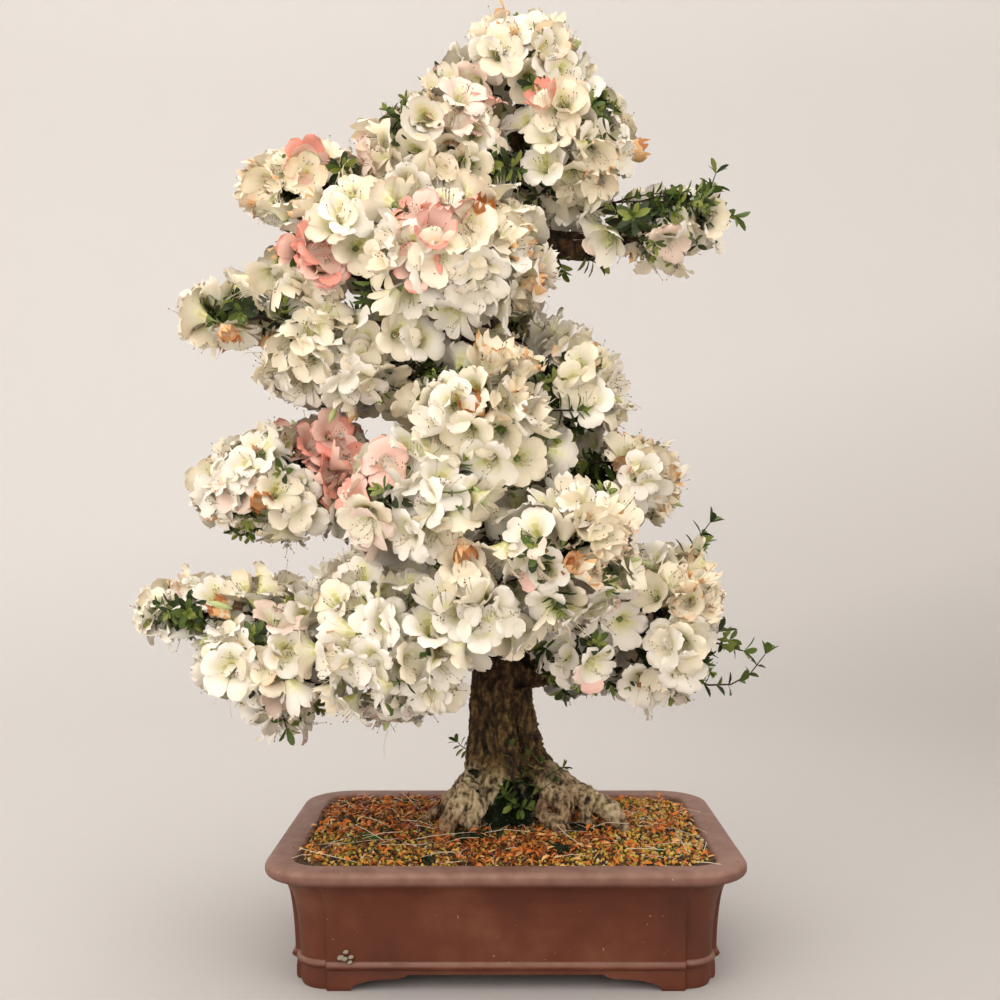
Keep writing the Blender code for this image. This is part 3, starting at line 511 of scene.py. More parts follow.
def dress(mesh, *materials):
    """Shades a mesh smoothly and gives it its materials."""
    mesh.polygons.foreach_set("use_smooth", [True] * len(mesh.polygons))
    mesh.materials.clear()
    for material in materials:
        mesh.materials.append(material)


def place_object(name, data):
    """Puts a mesh, a lamp or a camera into the scene."""
    carrier = bpy.data.objects.new(name, data)
    bpy.context.scene.collection.objects.link(carrier)
    return carrier


def link(name, mesh, record_slot):
    """Piece from a mesh, riding on the plant."""
    piece = place_object(name, mesh)
    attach(piece, "root")
    return piece


def joined(parts):
    """Points, triangles and slots of several shapes as those of one."""
    points, faces, slots, count = [], [], [], 0
    for shape, shape_faces, shape_slots in parts:
        points.append(shape)
        faces.append(shape_faces + count)
        slots.append(np.broadcast_to(shape_slots, len(shape_faces)))
        count += len(shape)
    return np.concatenate(points), np.concatenate(faces), np.concatenate(slots)


class Batch:
    """Many small shapes joined into one piece."""

    def __init__(self, name, slots, record_slot, roughness=0.6):
        self.name, self.slots, self.record_slot = name, slots, record_slot
        self.roughness, self.parts = roughness, []

    def add(self, points, faces, slots=0):
        """Adds triangles, with each face's slot as a number in this batch's slots."""
        self.parts.append((points, faces, slots))

    def stamp(self, template, rotation, position, scale=1.0):
        """Adds a template turned, scaled and moved."""
        points, faces, slots = template
        self.add(placed(points, rotation, position, scale), faces, slots)

    def build(self):
        """Makes the batch's piece and lets it ride on the plant."""
        points, faces, slots = joined(self.parts)
        mesh = bpy.data.meshes.new(self.name)
        mesh.vertices.add(len(points))
        mesh.vertices.foreach_set("co", (points + np.array(HOME)).astype(np.float32).ravel())
        mesh.loops.add(faces.size)
        mesh.loops.foreach_set("vertex_index", faces.astype(np.int32).ravel())
        mesh.polygons.add(len(faces))
        mesh.polygons.foreach_set("loop_start", np.arange(0, faces.size, 3, dtype=np.int32))
        dress(mesh, *[shared_material(slot, self.roughness) for slot in self.slots])
        mesh.polygons.foreach_set("material_index", slots.astype(np.int32))
        mesh.update(calc_edges=True)
        mesh.validate()
        return link(self.name, mesh, self.record_slot)


def turned(outward, spin=0.0):
    """Rotation as rows of numbers that carries +Z to a direction after a spin about it."""
    turn = Vector(outward).to_track_quat("Z", "Y").to_matrix() @ Matrix.Rotation(spin, 3, "Z")
    return np.array(turn)


def placed(points, rotation, position, scale=1.0):
    """Points turned, scaled and moved."""
    return (points * scale) @ rotation.T + np.array(position)


def jolt(chance, swing):
    """A random push of up to a swing along each axis."""
    return Vector([chance.uniform(-swing, swing) for axis in range(3)])


def curve_at(start, bend, end, share):
    """Place at a share of a curve that leaves its start towards a bend and ends at an end."""
    return start.lerp(bend, share).lerp(bend.lerp(end, share), share)


def smooth_step(low, high, value):
    """Goes gently from 0 at low to 1 at high."""
    share = min(1.0, max(0.0, (value - low) / (high - low)))
    return share * share * (3 - 2 * share)


def tube(points, radii, sides=3):
    """Points and triangles of a tube closed at both ends, with a radius at each point."""
    points = [Vector(point) for point in points]
    turns = 2 * np.pi * np.arange(sides) / sides
    ring = np.stack([np.cos(turns), np.sin(turns), np.zeros(sides)], axis=1)
    rings = []
    for number, point in enumerate(points):
        run = points[min(number + 1, len(points) - 1)] - points[max(number - 1, 0)]
        rings.append(placed(ring, turned(run.normalized()), point, radii[number]))
    last = (len(points) - 1) * sides
    faces = []
    for low in range(0, last, sides):
        for side in range(sides):
            here, after = low + side, low + (side + 1) % sides
            faces += [(here, after, after + sides), (here, after + sides, here + sides)]
    faces += [(last, last + side, last + side + 1) for side in range(1, sides - 1)]
    faces += [(0, side + 1, side) for side in range(1, sides - 1)]
    return np.concatenate(rings), np.array(faces)


def open_tube(points, radius):
    """Three-sided tube with open ends."""
    shape, faces = tube(points, [radius] * len(points))
    return shape, faces[:6 * (len(points) - 1)]


def climb_at(height):
    """Share of the trunk that lies under a height."""
    return (height - TRUNK_FOOT) / (TRUNK_TIP - TRUNK_FOOT)


def trunk_middle(height):
    """Axis of the trunk at a height."""
    share = max(0.0, (height - SWAY_START) / (TRUNK_TIP - SWAY_START))
    across = TRUNK_ACROSS - SWAY * math.sin(math.pi * share) ** 2 + LEAN * share
    return Vector((across, TRUNK_BACK * (1 - climb_at(height) ** FORWARD_CURVE), height))


def trunk_radius(height):
    """Radius of the trunk without its roots."""
    taper = (1 - climb_at(height)) ** TRUNK_TAPER
    return TRUNK_TIP_RADIUS + (TRUNK_RADIUS - TRUNK_TIP_RADIUS) * taper


def level(mass, point):
    """How far out in a mass a point lies: 0 at its heart and 1 at its edge."""
    return math.sqrt(sum((away / size) ** 2 for away, size in zip(point - mass.middle, mass.half)))


def bough_path(mass):
    """Middle line and radii of the bough that carries a mass, from the trunk's axis."""
    start = trunk_middle(mass.fork)
    inward = start - mass.middle
    inward.z = 0
    inward.normalize()
    direction = Vector((inward.x, inward.y, -ENTRY_DROP)).normalized()
    end = mass.middle + direction * mass.half * ENTRY_LEVEL
    bend = start.lerp(end, BOUGH_BEND) + Vector((0, 0, BOUGH_ARCH * (end - start).length))
    shares = [count / BOUGH_STEPS for count in range(BOUGH_STEPS + 1)]
    return ([curve_at(start, bend, end, share) for share in shares],
            [mass.bough_radius * (1 - (1 - BOUGH_TIP) * share) for share in shares])


def limb_stretches():
    """Short stretches of the trunk and the boughs, each with its radius."""
    heights = [TRUNK_FOOT + (TRUNK_TIP - TRUNK_FOOT) * step / TRUNK_STRETCHES
               for step in range(TRUNK_STRETCHES + 1)]
    stretches = [(trunk_middle(low), trunk_middle(high), trunk_radius(low))
                 for low, high in zip(heights, heights[1:])]
    for mass in MASSES[:-1]:
        points, radii = bough_path(mass)
        stretches.extend(zip(points, points[1:], radii))
    return stretches


def clear_of_limbs(point, stretches):
    """Whether a point keeps a blossom's distance from every limb."""
    for start, end, radius in stretches:
        foot, share = intersect_point_line(point, start, end)
        foot = start if share < 0 else end if share > 1 else foot
        if (point - foot).length < radius + LIMB_CLEARANCE:
            return False
    return True


def petal_points(chance, spread, lift, ruffle, curl):
    """Points of one petal along +X of a flower that faces +Z."""
    phase, waves = chance.uniform(0, 2 * math.pi), chance.uniform(1.6, 3.0)
    tilt = chance.uniform(0.06, 0.20) + chance.gauss(0, 50 * ruffle)
    bend = chance.uniform(-0.16, 0.08)
    points = []
    for number, (away, height, half_width) in enumerate(PETAL_ROWS):
        out = number / (len(PETAL_ROWS) - 1)
        for column in range(PETAL_COLUMNS):
            side = 2 * column / (PETAL_COLUMNS - 1) - 1
            angle = math.radians(half_width) * side
            radius = away * (1 - (1 - spread) * out)
            rise = height + lift * out * out + bend * away * out
            rise += tilt * out * radius * math.sin(angle)
            rise += ruffle * out * out * math.sin(waves * math.pi * side + phase)
            rise += PETAL_CUP * out * abs(side) + curl * out ** 3 * side * side
            points.append((radius * math.cos(angle), radius * math.sin(angle), rise))
    return np.array(points)


def petal_faces():
    """Triangles of a petal's grid of points, which is numbered row by row."""
    faces = []
    for row in range(len(PETAL_ROWS) - 1):
        for here in range(row * PETAL_COLUMNS, (row + 1) * PETAL_COLUMNS - 1):
            above = here + PETAL_COLUMNS
            faces += [(here, here + 1, above + 1), (here, above + 1, above)]
    return np.array(faces)


def flower_template(seed, spread, lift, ruffle, curl):
    """Points and triangles of one flower, its upper petal along +Y, with each face's ring."""
    chance = Random(seed)
    faces, petals = petal_faces(), []
    for petal in range(PETALS):
        turn = math.pi / 2 + 2 * math.pi * petal / PETALS + chance.uniform(-0.08, 0.08)
        shape = petal_points(chance, spread * chance.uniform(0.92, 1.06),
                             lift * chance.uniform(0.5, 1.5), ruffle, curl)
        middle_rows = BLOTCHED if petal == 0 else FLUSHED if petal in (1, 4) else CLEAR
        side_rows = FLUSHED if petal == 0 else CLEAR
        rings = [ring for inner, outer in zip(middle_rows, side_rows)
                 for ring in (outer, outer, inner, inner, inner, inner, outer, outer)]
        petals.append((shape @ np.array(Matrix.Rotation(turn, 3, "Z")).T, faces, rings))
    return joined(petals)


def stamen_template(seed):
    """Points, triangles and slots of a flower's stamens and style: 0 filament, 1 anther."""
    chance = Random(seed)
    parts = []
    for number in range(STAMENS):
        # They leave the throat low, near the lower petals, and curve up at their ends
        turn = -math.pi / 2 + chance.uniform(-1.5, 1.5)
        out = Vector((math.cos(turn), math.sin(turn), 0)) * chance.uniform(*STAMEN_AWAY)
        reach = chance.uniform(*STAMEN_REACH) if number else STYLE_REACH
        start = Vector((0, 0, THROAT))
        end = out + Vector((0, 0.004, reach))
        bend = start.lerp(end, 0.6) + Vector((out.x * 0.3, -0.003, 0))
        parts += [(*open_tube([start, bend, end], FILAMENT), 0),
                  (*tube([end, end + Vector((0, 0.0005, 0.0012))], ANTHER), 1)]
    return joined(parts)


def leaf_points(length, width, droop):
    """Points of a rounded leaf along +X with its face up, folded along its midrib."""
    points = [(0, 0, 0)]
    for along, half_width in ((0.28, 0.34), (0.62, 0.50), (0.88, 0.34)):
        sag = -droop * along * along
        for side in (half_width, 0, -half_width):
            points.append((along * length, side * width, sag + 0.3 * abs(side) * width))
    points.append((length, 0, -droop))
    return np.array(points)


def spray_template(seed, whorls):
    """Leaves round a shoot along +Z; whorls are (height, leaves, tilt, length, slot)."""
    chance = Random(seed)
    parts = []
    for height, leaves, tilt, length, slot in whorls:
        start = chance.uniform(0, 2 * math.pi)
        for number in range(leaves):
            turn = start + 2 * math.pi * number / leaves + chance.uniform(-0.25, 0.25)
            size = length * chance.uniform(0.78, 1.12)
            width = LEAF_WIDTH * size / LEAF_LENGTH * chance.uniform(0.85, 1.1)
            shape = leaf_points(size, width, size * chance.uniform(0.05, 0.22))
            lean = Matrix.Rotation(-tilt - chance.uniform(-0.25, 0.25), 3, "Y")
            rotation = np.array(Matrix.Rotation(turn, 3, "Z") @ lean)
            shade = min(max(slot + chance.choice((-1, 0, 0, 0, 1)), 0), 2)
            parts.append((placed(shape, rotation, (0, 0, height)), LEAF_FACES, shade))
    return joined(parts)


def fibonacci_directions(count, chance, swing):
    """Directions spread evenly over a ball, each with a small random swing."""
    for number in range(count):
        rise = 1 - 2 * (number + 0.5) / count
        flat = math.sqrt(1 - rise * rise)
        turn = number * math.pi * (3 - math.sqrt(5))
        way = Vector((flat * math.cos(turn), flat * math.sin(turn), rise))
        yield (way + jolt(chance, swing)).normalized()


def kind_at(mass, point, facing, chance):
    """What grows at a place: a kind of blossom, leaves, or nothing."""
    if point.y < mass.middle.y + PATCH_DEPTH:
        column, row = photo_place(point)
        for patch in PATCHES:
            out = math.hypot((column - patch.column) / patch.wide, (row - patch.row) / patch.high)
            if out < 1 and (patch.kind != "bare" or point.y < BARE_DEPTH):
                return patch.kind
    if chance.random() < mass.leafiness * (LEAFY_ABOVE if facing.z > FACES_DOWN else LEAFY_BELOW):
        return "leafy"
    dealt = chance.random()
    for kind, share, more in KIND_SHARES:
        share += more * ((point.z - CROWN_FOOT) / CROWN_RISE)
        if dealt < share:
            return kind
        dealt -= share
    return "white"


def surface_share(mass, spread):
    """How far the crown reaches from a mass's heart, as a share of the mass's own size."""
    share = 1.0
    blend = BACK_BLEND if (mass.middle + spread).y > TRUNK_BACK else BLEND
    while share < FARTHEST:
        point = mass.middle + spread * (share + MARCH)
        near = sum(math.exp(-blend * (level(other, point) ** 2 - 1)) for other in MASSES
                   if other is mass or (point - other.middle).length < NEIGHBOURS)
        if near < 1:
            break
        share += MARCH
    return share


def outline_room(point):
    """How far inside the photograph's outline a point shows, in pixels; less than 0 outside."""
    spot = np.array(photo_place(point))
    starts, ends = OUTLINE, np.roll(OUTLINE, -1, axis=0)
    runs = ends - starts
    shares = np.clip(((spot - starts) * runs).sum(1) / (runs ** 2).sum(1), 0, 1)
    away = np.hypot(*(starts + runs * shares[:, None] - spot).T).min()
    crossed = (starts[:, 1] > spot[1]) != (ends[:, 1] > spot[1])
    starts, runs = starts[crossed], runs[crossed]
    columns = starts[:, 0] + runs[:, 0] * (spot[1] - starts[:, 1]) / runs[:, 1]
    return away if (columns > spot[0]).sum() % 2 else -away


def within_outline(heart, point, facing):
    """A point moved towards its mass's heart until a flower there keeps to the outline."""
    margin = OUTLINE_CLEARANCE[0] + (OUTLINE_CLEARANCE[1] - OUTLINE_CLEARANCE[0]) * abs(facing.y)
    for share in (0.0, 0.1, 0.2, 0.3, 0.4, 0.5):
        place = point.lerp(heart, share)
        if outline_room(place) > margin:
            return place
    return None


def far_from(patch, point):
    """Pixels between a patch's middle and a point, with more for a point further back."""
    column, row = photo_place(point)
    return math.hypot(column - patch.column, row - patch.row) + BACK_PENALTY * point.y


def deal_accents(sites):
    """Gives each patch of coloured blossom one flower that is seen at its middle."""
    outer = [number for number, site in enumerate(sites) if not site.inner]
    for patch in PATCHES:
        if patch.kind not in ("bare", "leafy"):
            nearest = min(outer, key=lambda number: far_from(patch, sites[number].point))
            sites[nearest] = sites[nearest]._replace(kind=patch.kind)
            outer.remove(nearest)


def crown_sites(stretches):
    """Every place on the crown that bears a blossom or a leafy spray."""
    noise.seed_set(SWELL_SEED)
    sites = []
    for mass in MASSES:
        chance = Random(mass.name + " sites")
        heart, size = mass.middle, mass.half
        area = 4 * math.pi * (size.x * size.y + size.x * size.z + size.y * size.z) / 3
        count = round(area / BLOOM_SPACING ** 2)
        for number, outward in enumerate(fibonacci_directions(count, chance, SITE_SWING)):
            spread = outward * size
            for depth in (BLOOM_LEVEL, INNER_LEVEL) if number % 3 == 0 else (BLOOM_LEVEL,):
                reach = surface_share(mass, spread) * chance.uniform(*depth)
                if spread.z < 0:
                    reach *= 1 - (1 - FLAT_UNDERSIDE) * abs(outward.z)
                point = heart + spread * reach
                point += noise.noise_vector(point * SWELLS) * SWELL
                point.y = min(DEEPEST, max(-DEEPEST, point.y))
                facing = Vector([way / across for way, across in zip(outward, size)]).normalized()
                tilt = Vector([chance.gauss(0, BLOOM_TILT) for axis in range(3)])
                facing = (facing + tilt).normalized()
                point = within_outline(heart, point, facing)
                if point is None or min(MASSES, key=lambda other: level(other, point)) is not mass:
                    continue
                if not clear_of_limbs(point, stretches):
                    continue
                kind = kind_at(mass, point, facing, chance)
                if facing.z < UNDERSIDE and chance.random() < UNDER_LEAVES:
                    kind = "leafy"
                if kind != "bare":
                    sites.append(Site(mass, point, facing, kind, depth is INNER_LEVEL))
    deal_accents(sites)
    return sites


def blossom_slots(kind, rings, chance):
    """Slot of each face of a blossom."""
    slots = np.array(KINDS[kind][0])[rings]
    for petal in range(PETALS):
        first, last = petal * PETAL_TRIANGLES, (petal + 1) * PETAL_TRIANGLES
        edge, outer = last - ROW_TRIANGLES, last - 3 * ROW_TRIANGLES
        dealt = chance.random()
        if kind == "streaked" and petal in (2, 3) and dealt < 0.6:
            streak = slice(first + 3 * ROW_TRIANGLES, outer if dealt < 0.2 else last)
            slots[streak] = chance.choice((BLUSH, BLUSH, BLUSH, ROSE))
        elif kind == "peach" and dealt < 0.5:
            slots[edge if dealt < 0.25 else outer:last] = PEACH
            slots[edge:last] = PEACH if 0.10 < dealt < 0.35 else TAN
        elif kind == "salmon" and dealt < 0.8:
            slots[edge if dealt < 0.4 else outer:last] = SALMON
        elif kind == "rust" and dealt < 0.6:
            slots[last - 2 * ROW_TRIANGLES:last] = RUST
    return slots


def grow_blossoms(sites, petals, stamens, stalks):
    """A blossom with its stamens, tube and stalk at every site that bears one."""
    flowers = {shape: [flower_template(f"{shape} {seed}", *numbers)
                       for seed in range(BLOOM_VARIANTS)] for shape, numbers in SHAPES.items()}
    stamen_shapes = [stamen_template(f"stamens {seed}") for seed in range(BLOOM_VARIANTS)]
    chance = Random("blossoms")
    for site in sites:
        if site.kind == "leafy":
            continue
        shape = KINDS[site.kind][1]
        if shape == "open" and chance.random() < HALF_OPEN_SHARE:
            shape = "half"
        scale = chance.uniform(*BLOOM_SCALE) * (CRUMPLED_SCALE if shape == "crumpled" else 1.0)
        rotation = turned(site.facing, chance.gauss(0, 0.35))
        points, faces, rings = chance.choice(flowers[shape])
        slots = blossom_slots(site.kind, rings, chance)
        part = min(int((site.point.z - 0.2) / 0.8 * len(petals)), len(petals) - 1)
        petals[part].stamp((points, faces, slots), rotation, site.point, scale)
        if shape != "crumpled" and not site.inner:
            stamens.stamp(chance.choice(stamen_shapes), rotation, site.point, scale)
        base = site.point - site.facing * TUBE_LENGTH * scale
        foot = base - site.facing * PEDICEL
        stalks.add(*tube([foot, base, base + site.facing * CALYX_LENGTH * scale],
                         [0.0008, 0.0010, 0.0039 * scale], 4))


def grow_buds(sites, stalks, threads):
    """Pale buds between the blossoms, and calyces with the threads that fallen ones leave."""
    chance = Random("buds")
    for site in sites:
        if site.inner or site.facing.y > 0.6:
            continue
        dealt = chance.random()
        start = site.point + jolt(chance, 0.014) - site.facing * 0.012
        if dealt < BUD_CHANCE:
            way = (site.facing + Vector((0, 0, -0.5))).normalized()
            stalks.add(*tube([start + way * along for along in BUD_STEPS], BUD_RADII, 6), 1)
        elif dealt < THREAD_CHANCES[site.point.z >= THREADS_RISE]:
            way = (site.facing + Vector((0, 0, chance.uniform(-1.2, 0.3)))).normalized()
            tip = start + way * chance.uniform(*THREAD_LENGTH)
            fall = tip + Vector((chance.uniform(-0.006, 0.006), chance.uniform(-0.006, 0.006),
                                 chance.uniform(-0.016, 0.002)))
            threads.add(*open_tube([start, tip, fall], THREAD))
            if dealt < CALYX_CHANCE:
                line = [start + way * along for along in CALYX_STEPS]
                threads.add(*tube(line, CALYX_RADII, 5), 1)


def grow_leaves(sites, leaves, twigs):
    """Leafy sprays at their own sites, and a ring of leaves behind each blossom."""
    full = [spray_template(f"spray {seed}", SPRAY) for seed in range(SPRAY_VARIANTS)]
    ring = [spray_template(f"ring {seed}", RING) for seed in range(SPRAY_VARIANTS)]
    chance = Random("leaves")
    for site in sites:
        part = leaves[site.point.z >= LEAVES_SPLIT]
        rotation = turned(site.facing, chance.uniform(0, 2 * math.pi))
        if site.kind == "leafy":
            tip = site.point - site.facing * 0.006
            part.stamp(chance.choice(full), rotation, tip, chance.uniform(0.80, 1.05))
            twigs.add(*tube([tip - site.facing * 0.025, tip], [0.0013, 0.0009]))
        elif not site.inner and chance.random() < RING_SHARE:
            part.stamp(chance.choice(ring), rotation,
                       site.point - site.facing * chance.uniform(0.030, 0.042),
                       chance.uniform(0.8, 1.1))


def grow_twigs(sites, twigs):
    """Stem and main twigs of each mass, and a fine twig from them to each site."""
    for mass in MASSES:
        chance = Random(mass.name + " twigs")
        heart = mass.middle
        start, width = trunk_middle(TRUNK_TIP), TRUNK_TIP_RADIUS * 0.9
        if mass.bough_radius:
            points, radii = bough_path(mass)
            start, width = points[-1], radii[-1] * 0.9
        bend = start.lerp(heart, 0.5) + Vector((0, 0, 0.004))
        twigs.add(*tube([start, bend, heart], [width * share for share in STEM_WIDTHS], 5))
        own = [site for site in sites if site.mass is mass]
        joints = []
        for outward in fibonacci_directions(max(8, len(own) // 6), chance, 0.2):
            joint = heart + outward * mass.half * chance.uniform(0.42, 0.58)
            bend = heart.lerp(joint, 0.5) + jolt(chance, 0.006)
            twigs.add(*tube([heart, bend, joint], [width * 0.5, 0.0020, 0.0014], 4))
            joints.append(joint)
        for site in own:
            foot = site.point - site.facing * TWIG_ROOM
            joint = min(joints, key=lambda place: (place - foot).length)
            bend = joint.lerp(foot, 0.55) + jolt(chance, 0.005)
            twigs.add(*tube([joint, bend, foot], TWIG_RADII))


def leafy_line(line, leaves, twigs, chance, first, size=1.0, width=0.0016):
    """A thin stem through three points, with leaves along it from a share of its length on."""
    start, bend, tip = (Vector(point) for point in line)
    steps = [curve_at(start, bend, tip, share) for share in (0, 0.25, 0.5, 0.75, 1)]
    twigs.add(*tube(steps, [width * (1 - 0.14 * step) for step in range(5)], 4))
    count = max(3, int((tip - start).length * (1 - first) / LEAF_SPACING))
    for step in range(count + 1):
        share = first + (1 - first) * step / count
        along = (bend.lerp(tip, share) - start.lerp(bend, share)).normalized()
        number, tilt = (4, 0.9) if step == count else (2, 0.45)
        spray = spray_template(chance.random(), ((0.0, number, tilt, 0.019 * size, 1),))
        leaves.stamp(spray, turned(along, chance.uniform(0, 6.3)),
                     curve_at(start, bend, tip, share))


def grow_shoots(leaves, twigs):
    """Long leafy shoots that stand out of the crown."""
    chance = Random("shoots")
    for owner, *tip in SHOOTS:
        heart = next(mass.middle for mass in MASSES if mass.name == owner)
        tip = Vector(thousandths(tip))
        run = tip - heart
        bend = heart.lerp(tip, 0.6) + Vector((0, 0, -0.06 * run.length))
        leafy_line((heart, bend, tip), leaves, twigs, chance, 0.5)
        side = Vector((-run.y, run.x, run.length * 0.3)) * 0.22
        leafy_line((heart.lerp(tip, 0.55), heart.lerp(tip, 0.75) + side * 0.5,
                    heart.lerp(tip, 0.86) + side), leaves, twigs, chance, 0.3, 0.85, 0.0010)


def grow_sprigs(leaves, twigs):
    """Sprigs beside the crown and the tuft of shoots on the trunk."""
    chance = Random("sprigs")
    for lines, *numbers in ((SPRIGS, 0.2, 1.05, 0.0012), (TUFT, 0.35, 0.66, 0.0008)):
        for line in lines:
            leafy_line(line, leaves, twigs, chance, *numbers)


def build_crown():
    """Blossoms, leaves and twigs of the whole crown, which stand for its masses."""
    sites = crown_sites(limb_stretches())
    petals = [Batch(f"petals_{name}", PETAL_SLOTS, "foliage", 0.5)
              for name in ("low", "mid", "upper", "top")]
    stamens = Batch("stamens", ("filament", "anther"), "foliage")
    stalks = Batch("flower_stalks", ("stalk", "bud"), "foliage")
    threads = Batch("calyx_threads", ("thread", "calyx"), "foliage")
    leaves = [Batch(f"leaves_{name}", LEAF_SLOTS, "foliage", 0.55) for name in ("low", "high")]
    twigs = Batch("twigs", ("twig",), "bark", 0.9)
    grow_blossoms(sites, petals, stamens, stalks)
    grow_buds(sites, stalks, threads)
    grow_leaves(sites, leaves, twigs)
    grow_twigs(sites, twigs)
    grow_shoots(leaves[1], twigs)
    grow_sprigs(leaves[0], twigs)
    for batch in (*petals, stamens, stalks, threads, *leaves, twigs):
        piece = batch.build()
        if batch is petals[0]:
            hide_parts(*["mass_" + mass.name for mass in MASSES])


def mesh_of(shape, name):
    """Mesh made from a bmesh, which is let go."""
    mesh = bpy.data.meshes.new(name)
    shape.to_mesh(mesh)
    shape.free()
    return mesh


def applied(carrier):
    """Mesh of an object with its modifiers applied."""
    depsgraph = bpy.context.evaluated_depsgraph_get()
    return bpy.data.meshes.new_from_object(carrier.evaluated_get(depsgraph))


def remeshed(name, meshes, voxel):
    """One even skin round several closed meshes."""
    shape = bmesh.new()
    for mesh in meshes:
        shape.from_mesh(mesh)
    carrier = place_object(name, mesh_of(shape, name))
    remesh = carrier.modifiers.new("remesh", "REMESH")
    remesh.mode = "VOXEL"
    remesh.voxel_size = voxel
    skin = applied(carrier)
    bpy.data.objects.remove(carrier)
    return skin


def keep_layer(mesh, name, values):
    """Keeps a number at each point of a mesh for its material to read."""
    mesh.attributes.new(name, "FLOAT", "POINT").data.foreach_set("value", values)


def relief(mesh, smoothing):
    """Smooths a mesh, raises the bark over it, and keeps the bark's shade as a layer."""
    shape = bmesh.new()
    shape.from_mesh(mesh)
    for _ in range(smoothing):
        bmesh.ops.smooth_vert(shape, verts=shape.verts, factor=0.5, use_axis_x=True,
                              use_axis_y=True, use_axis_z=True)
    shape.normal_update()
    bark = [bark_depth(vert.co) for vert in shape.verts]
    for vert, (depth, shade) in zip(shape.verts, bark):
        vert.co = vert.co + vert.normal * depth
    shape.to_mesh(mesh)
    shape.free()
    keep_layer(mesh, "relief", [shade for depth, shade in bark])
    mesh.update()


def bark_depth(place):
    """Height of the bark over the wood at a place, and its shade from pit to ridge."""
    spot = place - HOME
    root = 1 - smooth_step(*ROOT_TOP, spot.z)
    twist = Matrix.Rotation(spot.z * TWIST, 3, "Z") @ Vector((spot.x, spot.y, 0))
    warp = 0.006 * noise.noise(spot * WARP_SCALE)
    lump = noise.noise(Vector((spot.x, spot.y, spot.z * 0.7)) * LUMP_SCALE)
    round_it, along = PLATE_SCALE
    cell = Vector((twist.x * round_it + warp * 150, twist.y * round_it, spot.z * along))
    near, far = noise.voronoi(cell)[0][:2]
    plate = smooth_step(0.0, 0.32, far - near)
    round_it, along = RIDGE_SCALE
    fold = Vector((twist.x * round_it, twist.y * round_it, spot.z * along + warp * 300))
    ridge = 1 - abs(noise.noise(fold) * 2.2)
    round_it, along = GRAIN_SCALE
    fleck = Vector((spot.x * round_it, spot.y * round_it, spot.z * along))
    grain = noise.fractal(fleck, 0.9, 2.1, 3)
    knob = noise.noise(spot * KNOB_SCALE)
    thin = min(1.0, max(0.25, (0.95 - spot.z) / 0.6))
    trunk_depth = (BARK_LUMP * lump + BARK_PLATE * (plate - 0.7) + BARK_RIDGE * (ridge - 0.5)
                   + BARK_GRAIN * grain)
    root_depth = (ROOT_LUMP * lump + ROOT_KNOB * knob + ROOT_RIDGE * (ridge - 0.5)
                  + BARK_GRAIN * grain)
    depth = thin * (trunk_depth * (1 - root) + root_depth * root)
    shade = 0.50 + 0.24 * (plate - 0.75) + 0.26 * (ridge - 0.5) + 0.26 * grain
    root_shade = 0.55 + 0.20 * knob + 0.26 * (ridge - 0.5) + 0.42 * grain
    return depth, shade * (1 - root) + root_shade * root


class Paint:
    """A material and the nodes behind it; each maker of a node returns the node's outlet."""

    def __init__(self, name, color, roughness):
        self.material = plain_material(name, color, roughness)
        self.tree = self.material.node_tree
        self.shader = self.tree.nodes["Principled BSDF"]
        self.surface = self.make("NewGeometry", {}).outputs

    def feed(self, node, inputs):
        """Gives a node its inputs by name or number: values, or the outlets of other nodes."""
        for inlet, value in inputs.items():
            if isinstance(value, bpy.types.NodeSocket):
                self.tree.links.new(value, node.inputs[inlet])
            else:
                node.inputs[inlet].default_value = value

    def make(self, kind, inputs):
        """A new node with its inputs."""
        node = self.tree.nodes.new("ShaderNode" + kind)
        self.feed(node, inputs)
        return node

    def layer(self, name):
        """Number that a mesh keeps at each point."""
        node = self.make("Attribute", {})
        node.attribute_name = name
        return node.outputs["Fac"]

    def parts(self, what):
        """The X, Y and Z of the place, or of the direction a surface faces."""
        return self.make("SeparateXYZ", {"Vector": self.surface[what]}).outputs

    def noise(self, scale, detail, roughness=0.5):
        """Clouds through space."""
        return self.make("TexNoise", {"Vector": self.surface["Position"], "Scale": scale,
                                      "Detail": detail, "Roughness": roughness}).outputs["Fac"]

    def span(self, value, low, high, top=1.0):
        """0 where a value is low or less, and the top where it is high or more."""
        return self.make("MapRange", {"Value": value, "From Min": low, "From Max": high,
                                      "To Max": top}).outputs["Result"]

    def work_out(self, operation, *values, clamp=False):
        """Result of an operation on numbers."""
        node = self.make("Math", dict(enumerate(values)))
        node.operation, node.use_clamp = operation, clamp
        return node.outputs["Value"]

    def mix(self, share, first, second, blend="MIX"):
        """Mixture of two colors."""
        node = self.make("Mix", {})
        node.data_type, node.blend_type = "RGBA", blend
        self.feed(node, {0: share, 6: first, 7: second})
        return node.outputs[2]

    def ramp(self, value, *stops):
        """Color at a value, between stops of a position and a color in thousandths."""
        node = self.make("ValToRGB", {"Fac": value})
        elements = node.color_ramp.elements
        while len(elements) > 1:
            elements.remove(elements[-1])
        for number, (position, color) in enumerate(stops):
            element = elements[0] if number == 0 else elements.new(position)
            element.position, element.color = position, (*thousandths(color), 1.0)
        return node.outputs["Color"]

    def finish(self, color, height=None, strength=0, distance=0):
        """The material in a color, with a fine relief where a height is given."""
        self.feed(self.shader, {"Base Color": color})
        if height:
            bump = {"Height": height, "Strength": strength, "Distance": distance}
            self.feed(self.shader, {"Normal": self.make("Bump", bump).outputs["Normal"]})
        return self.material


